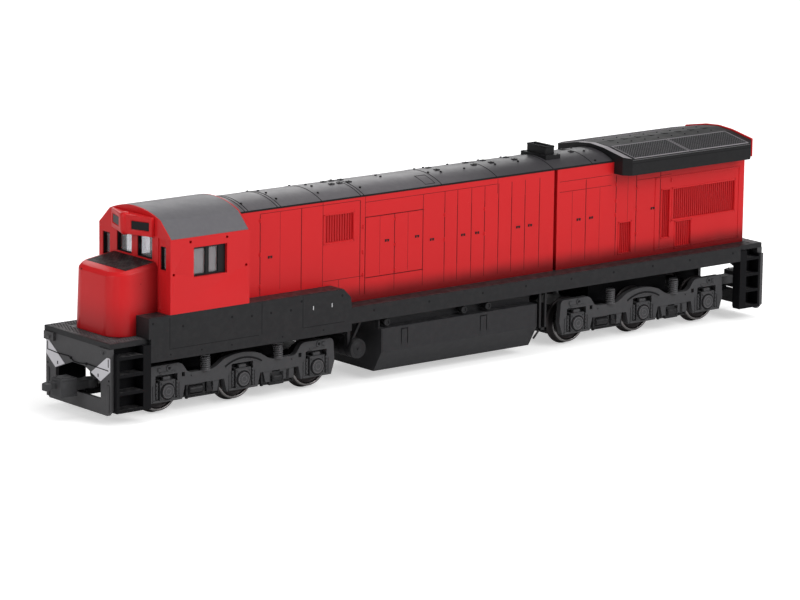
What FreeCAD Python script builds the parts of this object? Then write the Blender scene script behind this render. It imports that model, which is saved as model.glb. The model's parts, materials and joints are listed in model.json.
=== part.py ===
import FreeCAD, Part
import Sketcher
import os
from FreeCAD import Placement, Rotation, Vector

# A model diesel locomotive with two three-axle bogies, in millimetres.
# +X is the cab end, +Y the left side, +Z up. The origin is under the middle
# of the locomotive, on the plane that the wheel flanges stand on.

SIZES = {
    # Wheels and axles
    "tread_radius": 6.15,
    "flange_depth": 0.65,
    "flange_width": 0.85,
    "wheel_width": 2.8,
    "back_to_back": 14.4,
    "axle_radius": 1.2,
    "bearing_gap": 0.05,
    # Bogies
    "bolster_place": 72.1,
    "axle_spacing": 25.15,
    "frame_inner": 11.4,
    "frame_plate": 1.7,
    "frame_overhang": 5.85,
    "frame_flare": 0.5,
    "frame_rise": 7.15,
    "dip_depth": 3.15,
    "web_depth": 6.4,
    "pedestal_drop": 2.9,
    "pedestal_half": 5.2,
    "pedestal_splay": 0.9,
    "end_rise": 20.2,
    "dip_outer": 18.0,
    "dip_inner": 9.6,
    "crown_half": 6.2,
    "crown_fall": 1.05,
    "window_half": 3.6,
    "window_margin": 2.75,
    "tie_thick": 0.7,
    "box_half": 2.5,
    "box_drop": 2.3,
    "box_rise": 3.0,
    "box_proud": 0.5,
    "cap_radius": 1.7,
    "cap_proud": 0.4,
    "wing_seat": 0.3,
    "wing_half_height": 1.3,
    "wing_recess": 0.35,
    "eye_place": 19.6,
    "eye_half": 0.5,
    "eye_height": 1.2,
    "brake_inner": 13.0,
    "brake_length": 4.8,
    "brake_drop": 2.9,
    "hanger_inner": 7.2,
    "hanger_top": 3.4,
    "hanger_foot": 1.4,
    "hanger_drop": 3.1,
    "brake_recess": 0.4,
    "tower_half_width": 6.4,
    "tower_end": 2.85,
    "tower_drop": 3.6,
    "shoulder_rise": 4.2,
    "tower_top_half": 15.0,
    "tower_rise": 8.8,
    "keeper_thick": 0.9,
    "transom_half": 2.5,
    "transom_low": 1.3,
    "transom_thick": 2.3,
    "spring_place": 12.2,
    "spring_radius": 1.45,
    "spring_depth": 0.4,
    "spring_height": 4.3,
    # Couplers
    "arm_half": 2.2,
    "arm_low": 6.2,
    "arm_thick": 1.3,
    "arm_nose": 2.4,
    "arm_clear": 0.2,
    "coupler_pin": 1.0,
    "pin_gap": 0.05,
    "shank_half": 1.7,
    "shank_thick": 2.4,
    "seat_gap": 0.15,
    "head_clear": 1.9,
    "head_length": 5.2,
    "head_half": 2.3,
    "head_low": 6.3,
    "head_height": 5.0,
    "hook_length": 3.8,
    "hook_low": 8.4,
    "hook_height": 1.9,
    "hook_root": 0.75,
    # Underframe
    "pivot_radius": 2.5,
    "pivot_depth": 4.6,
    "rest_gap": 0.3,
    "beam_half": 7.5,
    "beam_height": 5.0,
    "beam_overhang": 22.9,
    "deck_half_width": 15.0,
    "deck_thick": 1.4,
    "deck_lip": 0.4,
    "sill_outer": 16.3,
    "sill_depth": 4.4,
    # Platform under the cab
    "platform_rise": 5.6,
    "platform_lead": 7.0,
    "platform_run": 32.1,
    "heel_run": 2.5,
    "heel_rise": 2.5,
    "heel_lean": 0.4,
    "skirt_depth": 6.4,
    # End plates and steps
    "pilot_thick": 1.0,
    "pilot_half": 14.8,
    "rear_pilot_half": 16.3,
    "pilot_shoulder": 1.5,
    "pilot_floor": 2.7,
    "pilot_corner": 1.5,
    "mouth_half": 10.3,
    "mouth_floor": 6.8,
    "mouth_side": 4.7,
    "mouth_rise": 2.9,
    "mouth_peak_half": 2.8,
    "bracket_inner": 10.4,
    "bracket_height": 2.2,
    "bracket_thick": 0.8,
    "post_clear": 1.5,
    "rear_post_clear": 4.4,
    "post_width": 2.5,
    "post_depth": 2.8,
    "post_floor": 3.6,
    "stair_length": 8.5,
    "stair_depth": 4.8,
    "stair_wall": 0.8,
    "stair_drop": 1.4,
    "tread_thick": 0.8,
    "tread_headroom": 0.85,
    # Cab
    "cab_half": 16.2,
    "cab_wall": 1.4,
    "cab_rim": 0.3,
    "cab_hip_half": 11.4,
    "hip_rise": 4.45,
    "crest_rise": 2.3,
    "eave_height": 2.85,
    "window_front_margin": 7.65,
    "window_length": 10.95,
    "window_rear_margin": 7.5,
    "window_sill_height": 9.4,
    "window_height": 8.0,
    "screen_inner": 1.3,
    "screen_outer": 8.0,
    "screen_sill_height": 13.7,
    "screen_height": 6.1,
    "bay_inner": 11.3,
    "door_window_outer": 13.7,
    "bay_window_outer": 14.5,
    "bay_sill_height": 11.6,
    "bay_window_height": 6.3,
    "door_inner": 10.7,
    "door_outer": 14.4,
    "door_floor_gap": 0.8,
    "door_height": 19.2,
    "door_recess": 0.3,
    "glass_thick": 0.4,
    "sash_bar": 0.55,
    "sash_thick": 0.5,
    "sash_split": 5.0,
    "sash_post": 9.1,
    "rail_hole_radius": 0.4,
    "rail_hole_rise": 1.65,
    "rail_hole_low": 1.35,
    "rail_hole_margin": 1.1,
    # Nose
    "nose_setback": 4.3,
    "nose_length": 14.0,
    "nose_half": 10.5,
    "nose_height": 17.0,
    "nose_slope": 1.9,
    "nose_lean": 0.7,
    "nose_corner": 5.4,
    "nose_brow": 0.9,
    "nose_panel_front": 4.0,
    "nose_panel_side": 1.6,
    "nose_panel_depth": 0.3,
    # Hoods and roofs
    "hood_half": 10.5,
    "hood_height": 29.0,
    "hood_arch": 2.7,
    "hood_wall": 1.2,
    "engine_hood_length": 112.1,
    "joint_width": 1.2,
    "rear_deck": 4.6,
    "end_wall": 1.1,
    "end_wall_inset": 3.3,
    "end_wall_drop": 0.1,
    "seam_width": 0.25,
    "seam_depth": 0.2,
    "door_foot": 6.1,
    "door_head": 6.0,
    "tall_head": 0.9,
    "louvre_depth": 0.5,
    "intake_place": 29.9,
    "intake_length": 9.7,
    "intake_rise": 17.6,
    "intake_height": 7.4,
    "vent_place": 2.8,
    "vent_length": 24.1,
    "vent_rise": 9.8,
    "vent_height": 8.8,
    "slim_place": 28.4,
    "slim_length": 2.8,
    "slim_rise": 4.8,
    "slim_height": 13.9,
    "low_place": 19.9,
    "low_length": 5.9,
    "low_rise": 1.3,
    "low_height": 7.5,
    "side_place": 43.3,
    "side_length": 4.2,
    "side_rise": 2.1,
    "side_height": 8.8,
    "radiator_length": 50.0,
    "radiator_half": 16.1,
    "wing_drop": 3.4,
    "wing_rise": 1.45,
    "slope_rise": 2.0,
    "radiator_arch": 0.5,
    "radiator_knee_half": 5.6,
    "radiator_corner": 2.0,
    "radiator_band": 1.5,
    "mesh_margin": 1.0,
    "mesh_depth": 0.35,
    "mesh_bar": 0.8,
    "stack_setback": 3.7,
    "stack_base_length": 5.4,
    "stack_base_width": 11.0,
    "stack_base_height": 0.5,
    "stack_length": 3.2,
    "stack_width": 8.0,
    "stack_height": 2.4,
    "stack_wall": 0.5,
    # Lamp and number housings
    "housing_reach": 4.0,
    "housing_half": 0.6,
    "housing_wing": 9.1,
    "housing_heel": 1.0,
    "housing_gap": 0.2,
    "housing_height": 5.2,
    "board_recess": 0.3,
    # Tank and reservoirs
    "tank_front_gap": 14.3,
    "tank_rear_gap": 11.8,
    "tank_half": 16.3,
    "tank_gap": 2.8,
    "tank_crease": 8.5,
    "tank_floor": 2.6,
    "tank_floor_half": 12.9,
    "tank_neck_half": 12.9,
    "reservoir_gap": 8.0,
    "reservoir_radius": 2.7,
    "reservoir_height": 9.95,
    "reservoir_inner": 1.0,
    "reservoir_outer": 14.0,
    "strap_width": 1.0,
    "strap_inner": 11.4,
    "strap_depth": 1.2,
    # Weight inside the hood
    "weight_length": 72.0,
    "weight_gap": 2.7,
    "weight_half_width": 8.6,
    "weight_height": 23.7,
    "cut_over": 1.0,
}

STEP_TREADS = 4
COIL_TURNS = 3
COIL_SIDES = 6
WHEEL_SIDES = 28
CAP_SIDES = 12
RESERVOIR_SIDES = 24

# Shares along a hood, from its front end, at which the tall seams and the door seams lie.
ENGINE_TALL_SHARES = (0.07, 0.195, 0.376)
ENGINE_DOOR_SHARES = (0.392, 0.484, 0.574, 0.643, 0.684, 0.729, 0.772, 0.817, 0.86, 0.904, 0.952)
RADIATOR_TALL_SHARES = (0.152, 0.313, 0.422, 0.552)

# Share of a coil spring's pitch that its wire takes.
WIRE_SHARE = 0.5
# Share of a board's height that its margins above and below take.
BOARD_EDGE_SHARE = 0.25
# Shares of a housing's slanted face at which its board starts and ends.
BOARD_START_SHARE = 0.1
BOARD_END_SHARE = 0.75
# Share of the radiator roof's length at which the bar between its two meshes lies.
MESH_SPLIT_SHARE = 0.48

# Two coordinates nearer than this are taken as one.
CLOSE = 1e-6

doc = FreeCAD.newDocument("Locomotive")
sheet = doc.addObject("Spreadsheet::Sheet", "Sizes")
parts = []


class Size:
    """A length that carries its value and the sheet expression that drives it."""

    def __init__(self, value, text):
        self.value = value
        self.text = text

    def __add__(self, other):
        other = size(other)
        return Size(self.value + other.value, f"({self.text} + {other.text})")

    def __radd__(self, other):
        return size(other) + self

    def __sub__(self, other):
        other = size(other)
        return Size(self.value - other.value, f"({self.text} - {other.text})")

    def __rsub__(self, other):
        return size(other) - self

    def __mul__(self, other):
        other = size(other)
        return Size(self.value * other.value, f"({self.text} * {other.text})")

    def __rmul__(self, other):
        return size(other) * self

    def __truediv__(self, other):
        other = size(other)
        return Size(self.value / other.value, f"({self.text} / {other.text})")

    def __neg__(self):
        return Size(-self.value, f"(0 - {self.text})")


def size(number):
    """Turn a plain number, such as zero or a share, into a Size."""
    return number if isinstance(number, Size) else Size(float(number), repr(float(number)))


class Sheet:
    """Gives each named length of the sheet as a Size."""

    def __getattr__(self, name):
        return Size(float(sheet.get(name)), f"Sizes.{name}")


def fill_sheet():
    for row, (name, value) in enumerate(SIZES.items(), start=1):
        sheet.set(f"A{row}", name)
        sheet.set(f"B{row}", str(value))
        sheet.setAlias(f"B{row}", name)
    doc.recompute()


fill_sheet()
s = Sheet()


def bind(obj, prop, length):
    obj.setExpression(prop, size(length).text)


def place(obj, x=0, y=0, z=0, turn=None):
    """Set the turn of an object and bind its place to the sheet."""
    if turn is not None:
        obj.Placement = Placement(Vector(0, 0, 0), turn)
    for prop, length in zip("xyz", (x, y, z)):
        if size(length).value or isinstance(length, Size):
            bind(obj, f"Placement.Base.{prop}", length)
    return obj


def box(name, low, high):
    """A box between two opposite corners."""
    obj = doc.addObject("Part::Box", name)
    for prop, a, b in zip(("Length", "Width", "Height"), low, high):
        bind(obj, prop, b - a)
    return place(obj, *low)


def rod(name, radius, length, axis="z", x=0, y=0, z=0):
    """A cylinder from a point along an axis."""
    obj = doc.addObject("Part::Cylinder", name)
    bind(obj, "Radius", radius)
    bind(obj, "Height", length)
    turns = {"x": Rotation(Vector(0, 0, 1), Vector(1, 0, 0)),
             "y": Rotation(Vector(0, 0, 1), Vector(0, 1, 0)),
             "z": Rotation()}
    return place(obj, x, y, z, turns[axis])


def fuse(name, shapes):
    obj = doc.addObject("Part::MultiFuse", name)
    obj.Shapes = shapes
    obj.Refine = True
    return obj


def cut(name, base, tools):
    obj = doc.addObject("Part::Cut", name)
    obj.Base = base
    obj.Tool = tools[0] if len(tools) == 1 else fuse(name + "_tools", tools)
    obj.Refine = True
    return obj


def common(name, first, second):
    obj = doc.addObject("Part::Common", name)
    obj.Base = first
    obj.Tool = second
    return obj


def compound(name, shapes):
    obj = doc.addObject("Part::Compound", name)
    obj.Links = shapes
    return obj


def part(label, obj):
    """Register a finished sub-part under the label that names its file."""
    obj.Label = label
    parts.append(obj)
    return obj


PLANES = {"xy": "XY_Plane", "xz": "XZ_Plane", "yz": "YZ_Plane"}


def sketch(body, plane, offset=0):
    """A sketch on an origin plane of its body, moved along the plane's normal."""
    obj = body.newObject("Sketcher::SketchObject", body.Name + "_sketch")
    role = PLANES[plane]
    origin = [item for item in body.Origin.OriginFeatures if item.Role == role][0]
    obj.AttachmentSupport = [(origin, "")]
    obj.MapMode = "FlatFace"
    if isinstance(offset, Size):
        bind(obj, "AttachmentOffset.Base.z", offset)
    return obj


def pin_point(obj, geometry, corner, point):
    """Drive one point of a sketch from the sheet, along both directions."""
    for kind, length in zip(("DistanceX", "DistanceY"), point):
        length = size(length)
        if length.value == 0:
            on_axis = -2 if kind == "DistanceX" else -1
            obj.addConstraint(Sketcher.Constraint("PointOnObject", geometry, corner, on_axis))
            continue
        number = obj.addConstraint(Sketcher.Constraint(kind, -1, 1, geometry, corner, length.value))
        obj.setExpression(f"Constraints[{number}]", length.text)


def outline(obj, points, arcs=()):
    """Close a run of points; a stretch named in arcs bulges through its own point."""
    flat = [Vector(size(x).value, size(y).value, 0) for x, y in points]
    through = dict(arcs)
    count = len(points)
    ids = []
    turned = []
    for i in range(count):
        start, end = flat[i], flat[(i + 1) % count]
        curve = Part.LineSegment(start, end)
        turned.append(False)
        if i in through:
            middle = Vector(size(through[i][0]).value, size(through[i][1]).value, 0)
            turned[i] = is_clockwise(start, middle, end)
            curve = Part.Arc(end, middle, start) if turned[i] else Part.Arc(start, middle, end)
        ids.append(obj.addGeometry(curve, False))
    for i in range(count):
        pin_point(obj, ids[i], 2 if turned[i] else 1, points[i])
    for i in range(count):
        after = (i + 1) % count
        obj.addConstraint(Sketcher.Constraint("Coincident", ids[i], 1 if turned[i] else 2,
                                              ids[after], 2 if turned[after] else 1))
    for i, point in through.items():
        mark = obj.addGeometry(Part.Point(Vector(size(point[0]).value, size(point[1]).value, 0)), True)
        pin_point(obj, mark, 1, point)
        obj.addConstraint(Sketcher.Constraint("PointOnObject", mark, 1, ids[i]))


def is_clockwise(start, middle, end):
    """A sketch holds each arc anticlockwise, so a clockwise one is drawn from its end."""
    return (middle - start).cross(end - middle).z < 0


def pad(body, plane, points, offset, length, arcs=()):
    """Pad an outline along the normal of its plane."""
    drawing = sketch(body, plane, offset)
    outline(drawing, points, arcs)
    obj = body.newObject("PartDesign::Pad", body.Name + "_pad")
    obj.Profile = drawing
    bind(obj, "Length", length)
    return obj


def slab(name, plane, points, offset, length, arcs=()):
    """A body that is one padded outline."""
    body = doc.addObject("PartDesign::Body", name)
    pad(body, plane, points, offset, length, arcs)
    return body


def mirrored(points):
    """Add the mirror image of the right half of an outline that starts at the top."""
    return points + [(-x, y) for x, y in reversed(points) if size(x).value != 0]


def edges_where(obj, test):
    """Names of the straight edges of a feature whose two ends pass a test."""
    names = []
    for number, edge in enumerate(obj.Shape.Edges, start=1):
        ends = [vertex.Point for vertex in edge.Vertexes]
        if len(ends) == 2 and test(*ends):
            names.append(f"Edge{number}")
    return names


def same(first, second):
    return abs(first - second) < CLOSE


def soften(body, kind, test, prop, length):
    """Fillet or chamfer the edges of a body's last feature that pass a test."""
    doc.recompute()
    base = body.Tip
    obj = body.newObject("PartDesign::" + kind, body.Name + "_" + kind.lower())
    obj.Base = (base, edges_where(base, test))
    bind(obj, prop, length)
    return obj


# Places and heights that follow from the sizes

AXLE_HEIGHT = s.tread_radius + s.flange_depth
FRAME_OUTER = s.frame_inner + s.frame_plate
FRAME_HALF = s.axle_spacing + s.frame_overhang
FRAME_TOP = AXLE_HEIGHT + s.frame_rise
FRAME_DIP = FRAME_TOP - s.dip_depth
FRAME_WEB = FRAME_TOP - s.web_depth
PEDESTAL_FOOT = AXLE_HEIGHT - s.pedestal_drop

TOWER_HALF_LENGTH = s.axle_spacing + s.tower_end
TOWER_FLOOR = AXLE_HEIGHT - s.tower_drop
TOWER_SHOULDER = AXLE_HEIGHT + s.shoulder_rise
TOWER_TOP = AXLE_HEIGHT + s.tower_rise

BEAM_FLOOR = TOWER_TOP + s.rest_gap
DECK_FLOOR = BEAM_FLOOR + s.beam_height
DECK_TOP = DECK_FLOOR + s.deck_thick

FRONT_POST = s.bolster_place + FRAME_HALF + s.post_clear
REAR_POST = s.bolster_place + FRAME_HALF + s.rear_post_clear
PILOT_BACK = FRONT_POST + s.post_width + s.stair_length
PILOT_FACE = PILOT_BACK + s.pilot_thick
DECK_END = PILOT_FACE + s.deck_lip
COUPLER_REACH = PILOT_BACK - s.bolster_place - s.arm_clear - s.arm_nose
HEAD_PLACE = PILOT_FACE - s.bolster_place + s.head_clear

NOSE_FRONT = PILOT_FACE - s.nose_setback
CAB_FRONT = NOSE_FRONT - s.nose_length
WINDOW_FRONT = CAB_FRONT - s.window_front_margin
WINDOW_REAR = WINDOW_FRONT - s.window_length
CAB_REAR = WINDOW_REAR - s.window_rear_margin
PLATFORM_TOP = DECK_TOP + s.platform_rise
PLATFORM_REAR = CAB_REAR - s.platform_run
SILL_FRONT = PLATFORM_REAR - s.heel_run - s.heel_lean
WINDOW_SILL = PLATFORM_TOP + s.window_sill_height
WINDOW_HEAD = WINDOW_SILL + s.window_height
SCREEN_HEAD = PLATFORM_TOP + s.screen_sill_height + s.screen_height
CAB_EAVE = WINDOW_HEAD + s.eave_height
CAB_HIP = CAB_EAVE + s.hip_rise
CAB_CREST = CAB_HIP + s.crest_rise
NOSE_BACK = DECK_TOP + s.nose_height + s.nose_slope

HOOD_EAVE = DECK_TOP + s.hood_height
HOOD_CREST = HOOD_EAVE + s.hood_arch
HOOD_JOINT = CAB_REAR - s.engine_hood_length
HOOD_END = -DECK_END + s.rear_deck
RADIATOR_FRONT = HOOD_END + s.radiator_length
WING_FLOOR = HOOD_EAVE - s.wing_drop
WING_EAVE = HOOD_EAVE + s.wing_rise
WING_KNEE = WING_EAVE + s.slope_rise
WING_SLOPE = s.slope_rise / (s.radiator_half - s.radiator_knee_half)
RADIATOR_CREST = WING_KNEE + s.radiator_arch

TANK_FRONT = s.bolster_place - FRAME_HALF - s.tank_front_gap
TANK_REAR = -s.bolster_place + FRAME_HALF + s.tank_rear_gap
RESERVOIR_PLACE = s.bolster_place - FRAME_HALF - s.reservoir_gap


def sides_of(inner, outer):
    """The same band on both sides: a name, its lower and its upper Y."""
    return (("left", inner, outer), ("right", -outer, -inner))


# Running gear

def many_sided(name, sides, radius, height, x, y, z, turn=None):
    """A disc with flat sides, which repeats with few faces."""
    obj = doc.addObject("Part::Prism", name)
    obj.Polygon = sides
    bind(obj, "Circumradius", radius)
    bind(obj, "Height", height)
    return place(obj, x, y, z, turn)


def make_wheelset(label, x):
    """Two flanged wheels fixed on one round axle."""
    across = Rotation(Vector(0, 0, 1), Vector(0, 1, 0))
    half = s.back_to_back / 2
    solids = [rod(label + "_axle", s.axle_radius, s.back_to_back, "y", 0, -half, 0)]
    for side, low, high in sides_of(half, half + s.wheel_width):
        solids.append(many_sided(f"{label}_{side}_tread", WHEEL_SIDES, s.tread_radius, high - low,
                                 0, low, 0, across))
    for side, low, high in sides_of(half, half + s.flange_width):
        solids.append(many_sided(f"{label}_{side}_flange", WHEEL_SIDES, AXLE_HEIGHT, high - low,
                                 0, low, 0, across))
    wheelset = fuse(label, solids)
    place(wheelset, x, 0, AXLE_HEIGHT)
    part(label, wheelset)


def axle_places():
    return [-s.axle_spacing, 0, s.axle_spacing]


def side_frame_outline():
    """The right half of a bogie's side frame seen from the side, from its crown to its middle foot."""
    foot = s.axle_spacing + s.pedestal_half
    heel = s.axle_spacing - s.pedestal_half
    return [(s.crown_half, FRAME_TOP - s.crown_fall), (s.dip_inner, FRAME_DIP),
            (s.dip_outer, FRAME_DIP), (s.end_rise, FRAME_TOP), (FRAME_HALF, FRAME_TOP),
            (FRAME_HALF + s.frame_flare, FRAME_WEB), (foot, PEDESTAL_FOOT), (heel, PEDESTAL_FOOT),
            (heel - s.pedestal_splay, FRAME_WEB), (s.pedestal_half + s.pedestal_splay, FRAME_WEB),
            (s.pedestal_half, PEDESTAL_FOOT)]


def side_frame_plate(name):
    """The cast plate: a crown over the middle axle, two dips for springs, three pairs of legs."""
    half = side_frame_outline()
    points = half + [(-along, up) for along, up in reversed(half)]
    return slab(name, "xz", points, -FRAME_OUTER, s.frame_plate, {len(points) - 1: (0, FRAME_TOP)})


def journal_box(name, along):
    """A journal box with a round cap, held between the legs by its two wings."""
    wing = s.window_half + s.wing_seat
    high = s.wing_half_height
    inner, outer = s.frame_inner, FRAME_OUTER + s.box_proud
    return [box(name + "_wing", (along - wing, inner + s.wing_recess, AXLE_HEIGHT - high),
                (along + wing, FRAME_OUTER - s.wing_recess, AXLE_HEIGHT + high)),
            box(name, (along - s.box_half, inner, AXLE_HEIGHT - s.box_drop),
                (along + s.box_half, outer, AXLE_HEIGHT + s.box_rise)),
            many_sided(name + "_cap", CAP_SIDES, s.cap_radius, outer + s.cap_proud - inner,
                       along, inner, AXLE_HEIGHT, Rotation(Vector(0, 0, 1), Vector(0, 1, 0)))]


def brake_gear(name, side):
    """The brake cylinder and the shoe hanger below the beam, on one side of the middle axle."""
    top = FRAME_WEB + s.tie_thick
    depth = s.frame_plate - s.brake_recess
    ends = sorted((side * s.brake_inner, side * (s.brake_inner + s.brake_length)), key=lambda end: end.value)
    cylinder = box(name + "_cylinder", (ends[0], s.frame_inner, FRAME_WEB - s.brake_drop),
                   (ends[1], s.frame_inner + depth, top))
    inner, outer = s.hanger_inner, s.hanger_inner + s.hanger_top
    foot = FRAME_WEB - s.hanger_drop
    lean = (s.hanger_top - s.hanger_foot) / 2
    points = [(side * inner, top), (side * outer, top), (side * (outer - lean), foot),
              (side * (inner + lean), foot)]
    return [cylinder, slab(name + "_hanger", "xz", points, -s.frame_inner - depth, depth)]


def make_side_frame(label, x, turn):
    """A side frame with its windows, journal boxes, eyes and brake gear."""
    over = s.cut_over
    window_top = FRAME_TOP - s.window_margin
    cuts = []
    solids = []
    for number, along in enumerate(axle_places()):
        cuts.append(box(f"{label}_window{number}",
                        (along - s.window_half, s.frame_inner - over, PEDESTAL_FOOT + s.tie_thick),
                        (along + s.window_half, FRAME_OUTER + over, window_top)))
        solids += journal_box(f"{label}_box{number}", along)
    for number, side in enumerate((-1, 1)):
        cuts.append(box(f"{label}_eye{number}",
                        (side * s.eye_place - s.eye_half, s.frame_inner - over, window_top - s.eye_height),
                        (side * s.eye_place + s.eye_half, FRAME_OUTER + over, window_top)))
        solids += brake_gear(f"{label}_brake{number}", side)
    plate = cut(label + "_frame", side_frame_plate(label + "_plate"), cuts)
    frame = fuse(label, [plate] + solids)
    place(frame, x, 0, 0, turn)
    part(label, frame)


def make_springs(label, x, turn):
    """Four coil springs, each standing in a dip of a side frame."""
    coils = []
    for side in (1, -1):
        for end in (1, -1):
            name = f"{label}_{'left' if side > 0 else 'right'}_{'front' if end > 0 else 'rear'}"
            coils.append(coil(name, end * s.spring_place, side * (s.frame_inner + s.spring_radius)))
    group = compound(label, coils)
    place(group, x, 0, 0, turn)
    part(label, group)


def coil(name, x, y):
    """A coil spring as a core with a ring for each turn."""
    pitch = s.spring_height / COIL_TURNS
    wire = pitch * WIRE_SHARE
    core = s.spring_radius - s.spring_depth
    solids = [many_sided(name + "_core", COIL_SIDES, core, s.spring_height, 0, 0, 0)]
    for turn in range(COIL_TURNS):
        solids.append(many_sided(f"{name}_turn{turn}", COIL_SIDES, s.spring_radius, wire,
                                 0, 0, turn * pitch + (pitch - wire) / 2))
    return place(fuse(name, solids), x, y, FRAME_DIP)


def axle_slot(name, along):
    """The slot that an axle rises into, half round at its top."""
    radius = s.axle_radius + s.bearing_gap
    low = TOWER_FLOOR - s.cut_over
    reach = s.tower_half_width + s.cut_over
    points = [(along - radius, low), (along + radius, low), (along + radius, AXLE_HEIGHT),
              (along - radius, AXLE_HEIGHT)]
    return slab(name, "xz", points, -reach, 2 * reach, {2: (along, AXLE_HEIGHT + radius)})


def make_tower(label, x, turn):
    """The gear housing that holds the axles, with transoms and the coupler's arm."""
    long, top = TOWER_HALF_LENGTH, s.tower_top_half
    points = [(long, TOWER_FLOOR), (long, TOWER_SHOULDER), (top, TOWER_SHOULDER), (top, TOWER_TOP),
              (-top, TOWER_TOP), (-top, TOWER_SHOULDER), (-long, TOWER_SHOULDER), (-long, TOWER_FLOOR)]
    solids = [slab(label + "_core", "xz", points, -s.tower_half_width, 2 * s.tower_half_width)]
    transom = AXLE_HEIGHT + s.transom_low
    for number, along in enumerate((-s.axle_spacing / 2, s.axle_spacing / 2)):
        solids.append(box(f"{label}_transom{number}",
                          (along - s.transom_half, -s.frame_inner, transom),
                          (along + s.transom_half, s.frame_inner, transom + s.transom_thick)))
    solids.append(box(label + "_arm", (long - s.cut_over, -s.arm_half, s.arm_low),
                      (COUPLER_REACH + s.arm_nose, s.arm_half, s.arm_low + s.arm_thick)))
    solids.append(rod(label + "_pin", s.coupler_pin, s.arm_thick + s.seat_gap + s.shank_thick,
                      "z", COUPLER_REACH, 0, s.arm_low))
    holes = [rod(label + "_socket", s.pivot_radius + s.pin_gap, TOWER_TOP - TOWER_SHOULDER + s.cut_over,
                 "z", 0, 0, TOWER_SHOULDER)]
    for number, along in enumerate(axle_places()):
        holes.append(axle_slot(f"{label}_slot{number}", along))
    tower = cut(label, fuse(label + "_solid", solids), holes)
    place(tower, x, 0, 0, turn)
    part(label, tower)


def make_keeper(label, x, turn):
    """The plate below the gear housing, with a lug in each slot that keeps the axle up."""
    half = s.tower_half_width
    solids = [box(label + "_plate", (-TOWER_HALF_LENGTH, -half, TOWER_FLOOR - s.keeper_thick),
                  (TOWER_HALF_LENGTH, half, TOWER_FLOOR))]
    lug_top = AXLE_HEIGHT - s.axle_radius - s.bearing_gap
    for number, along in enumerate(axle_places()):
        solids.append(box(f"{label}_lug{number}", (along - s.axle_radius, -half, TOWER_FLOOR),
                          (along + s.axle_radius, half, lug_top)))
    keeper = fuse(label, solids)
    place(keeper, x, 0, 0, turn)
    part(label, keeper)


def make_coupler(label, x, turn):
    """A hook coupler that swings on the pin of the bogie's arm."""
    low = s.arm_low + s.arm_thick + s.seat_gap
    reach, head = COUPLER_REACH, HEAD_PLACE
    tail = box(label + "_shank", (reach, -s.shank_half, low),
               (head + s.cut_over, s.shank_half, low + s.shank_thick))
    eye = rod(label + "_ring", s.arm_half, s.shank_thick, "z", reach, 0, low)
    block = box(label + "_block", (head, -s.head_half, s.head_low),
                (head + s.head_length, s.head_half, s.head_low + s.head_height))
    face = head + s.head_length
    tip = face + s.hook_length
    throat = face + s.hook_length / 2
    hook = slab(label + "_hook", "xy",
                [(face - s.cut_over, -s.head_half), (throat, -s.head_half), (tip, -s.head_half / 2),
                 (tip, s.hook_root), (throat, s.hook_root), (throat, -s.hook_root),
                 (face, 0), (face, s.head_half), (face - s.cut_over, s.head_half)],
                s.hook_low, s.hook_height)
    hole = rod(label + "_eye", s.coupler_pin + s.pin_gap, s.shank_thick + 2 * s.cut_over, "z",
               reach, 0, low - s.cut_over)
    coupler = cut(label, fuse(label + "_solid", [tail, eye, block, hook]), [hole])
    place(coupler, x, 0, 0, turn)
    part(label, coupler)


def make_bogie(end, x, turn):
    make_tower(end + "_bogie_gear_housing", x, turn)
    make_keeper(end + "_bogie_keeper_plate", x, turn)
    sides = ("left", "right") if turn is None else ("right", "left")
    make_side_frame(f"{end}_bogie_{sides[0]}_side_frame", x, turn)
    opposite = Rotation(Vector(0, 0, 1), 0 if turn is not None else 180)
    make_side_frame(f"{end}_bogie_{sides[1]}_side_frame", x, opposite)
    make_springs(end + "_bogie_springs", x, turn)
    make_coupler(end + "_coupler", x, turn)
    for number, along in enumerate(axle_places()):
        make_wheelset(f"{end}_wheelset_{len(axle_places()) - number}", x + along)


# Underframe

def make_underframe():
    """The deck with its centre beam and the two pivots of the bogies."""
    long = s.bolster_place + s.beam_overhang
    solids = [box("deck_plate", (-DECK_END, -s.deck_half_width, DECK_FLOOR),
                  (DECK_END, s.deck_half_width, DECK_TOP)),
              box("centre_beam", (-long, -s.beam_half, BEAM_FLOOR), (long, s.beam_half, DECK_FLOOR))]
    for number, x in enumerate((-s.bolster_place, s.bolster_place)):
        solids.append(rod(f"pivot{number}", s.pivot_radius, s.pivot_depth + s.cut_over, "z",
                          x, 0, BEAM_FLOOR - s.pivot_depth))
    part("underframe", fuse("underframe", solids))


def make_side_sills():
    sills = []
    for side, low, high in sides_of(s.deck_half_width, s.sill_outer):
        sills.append(box("sill_" + side, (-REAR_POST, low, DECK_TOP - s.sill_depth),
                         (SILL_FRONT, high, DECK_TOP)))
    part("side_sills", compound("side_sills", sills))


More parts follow.
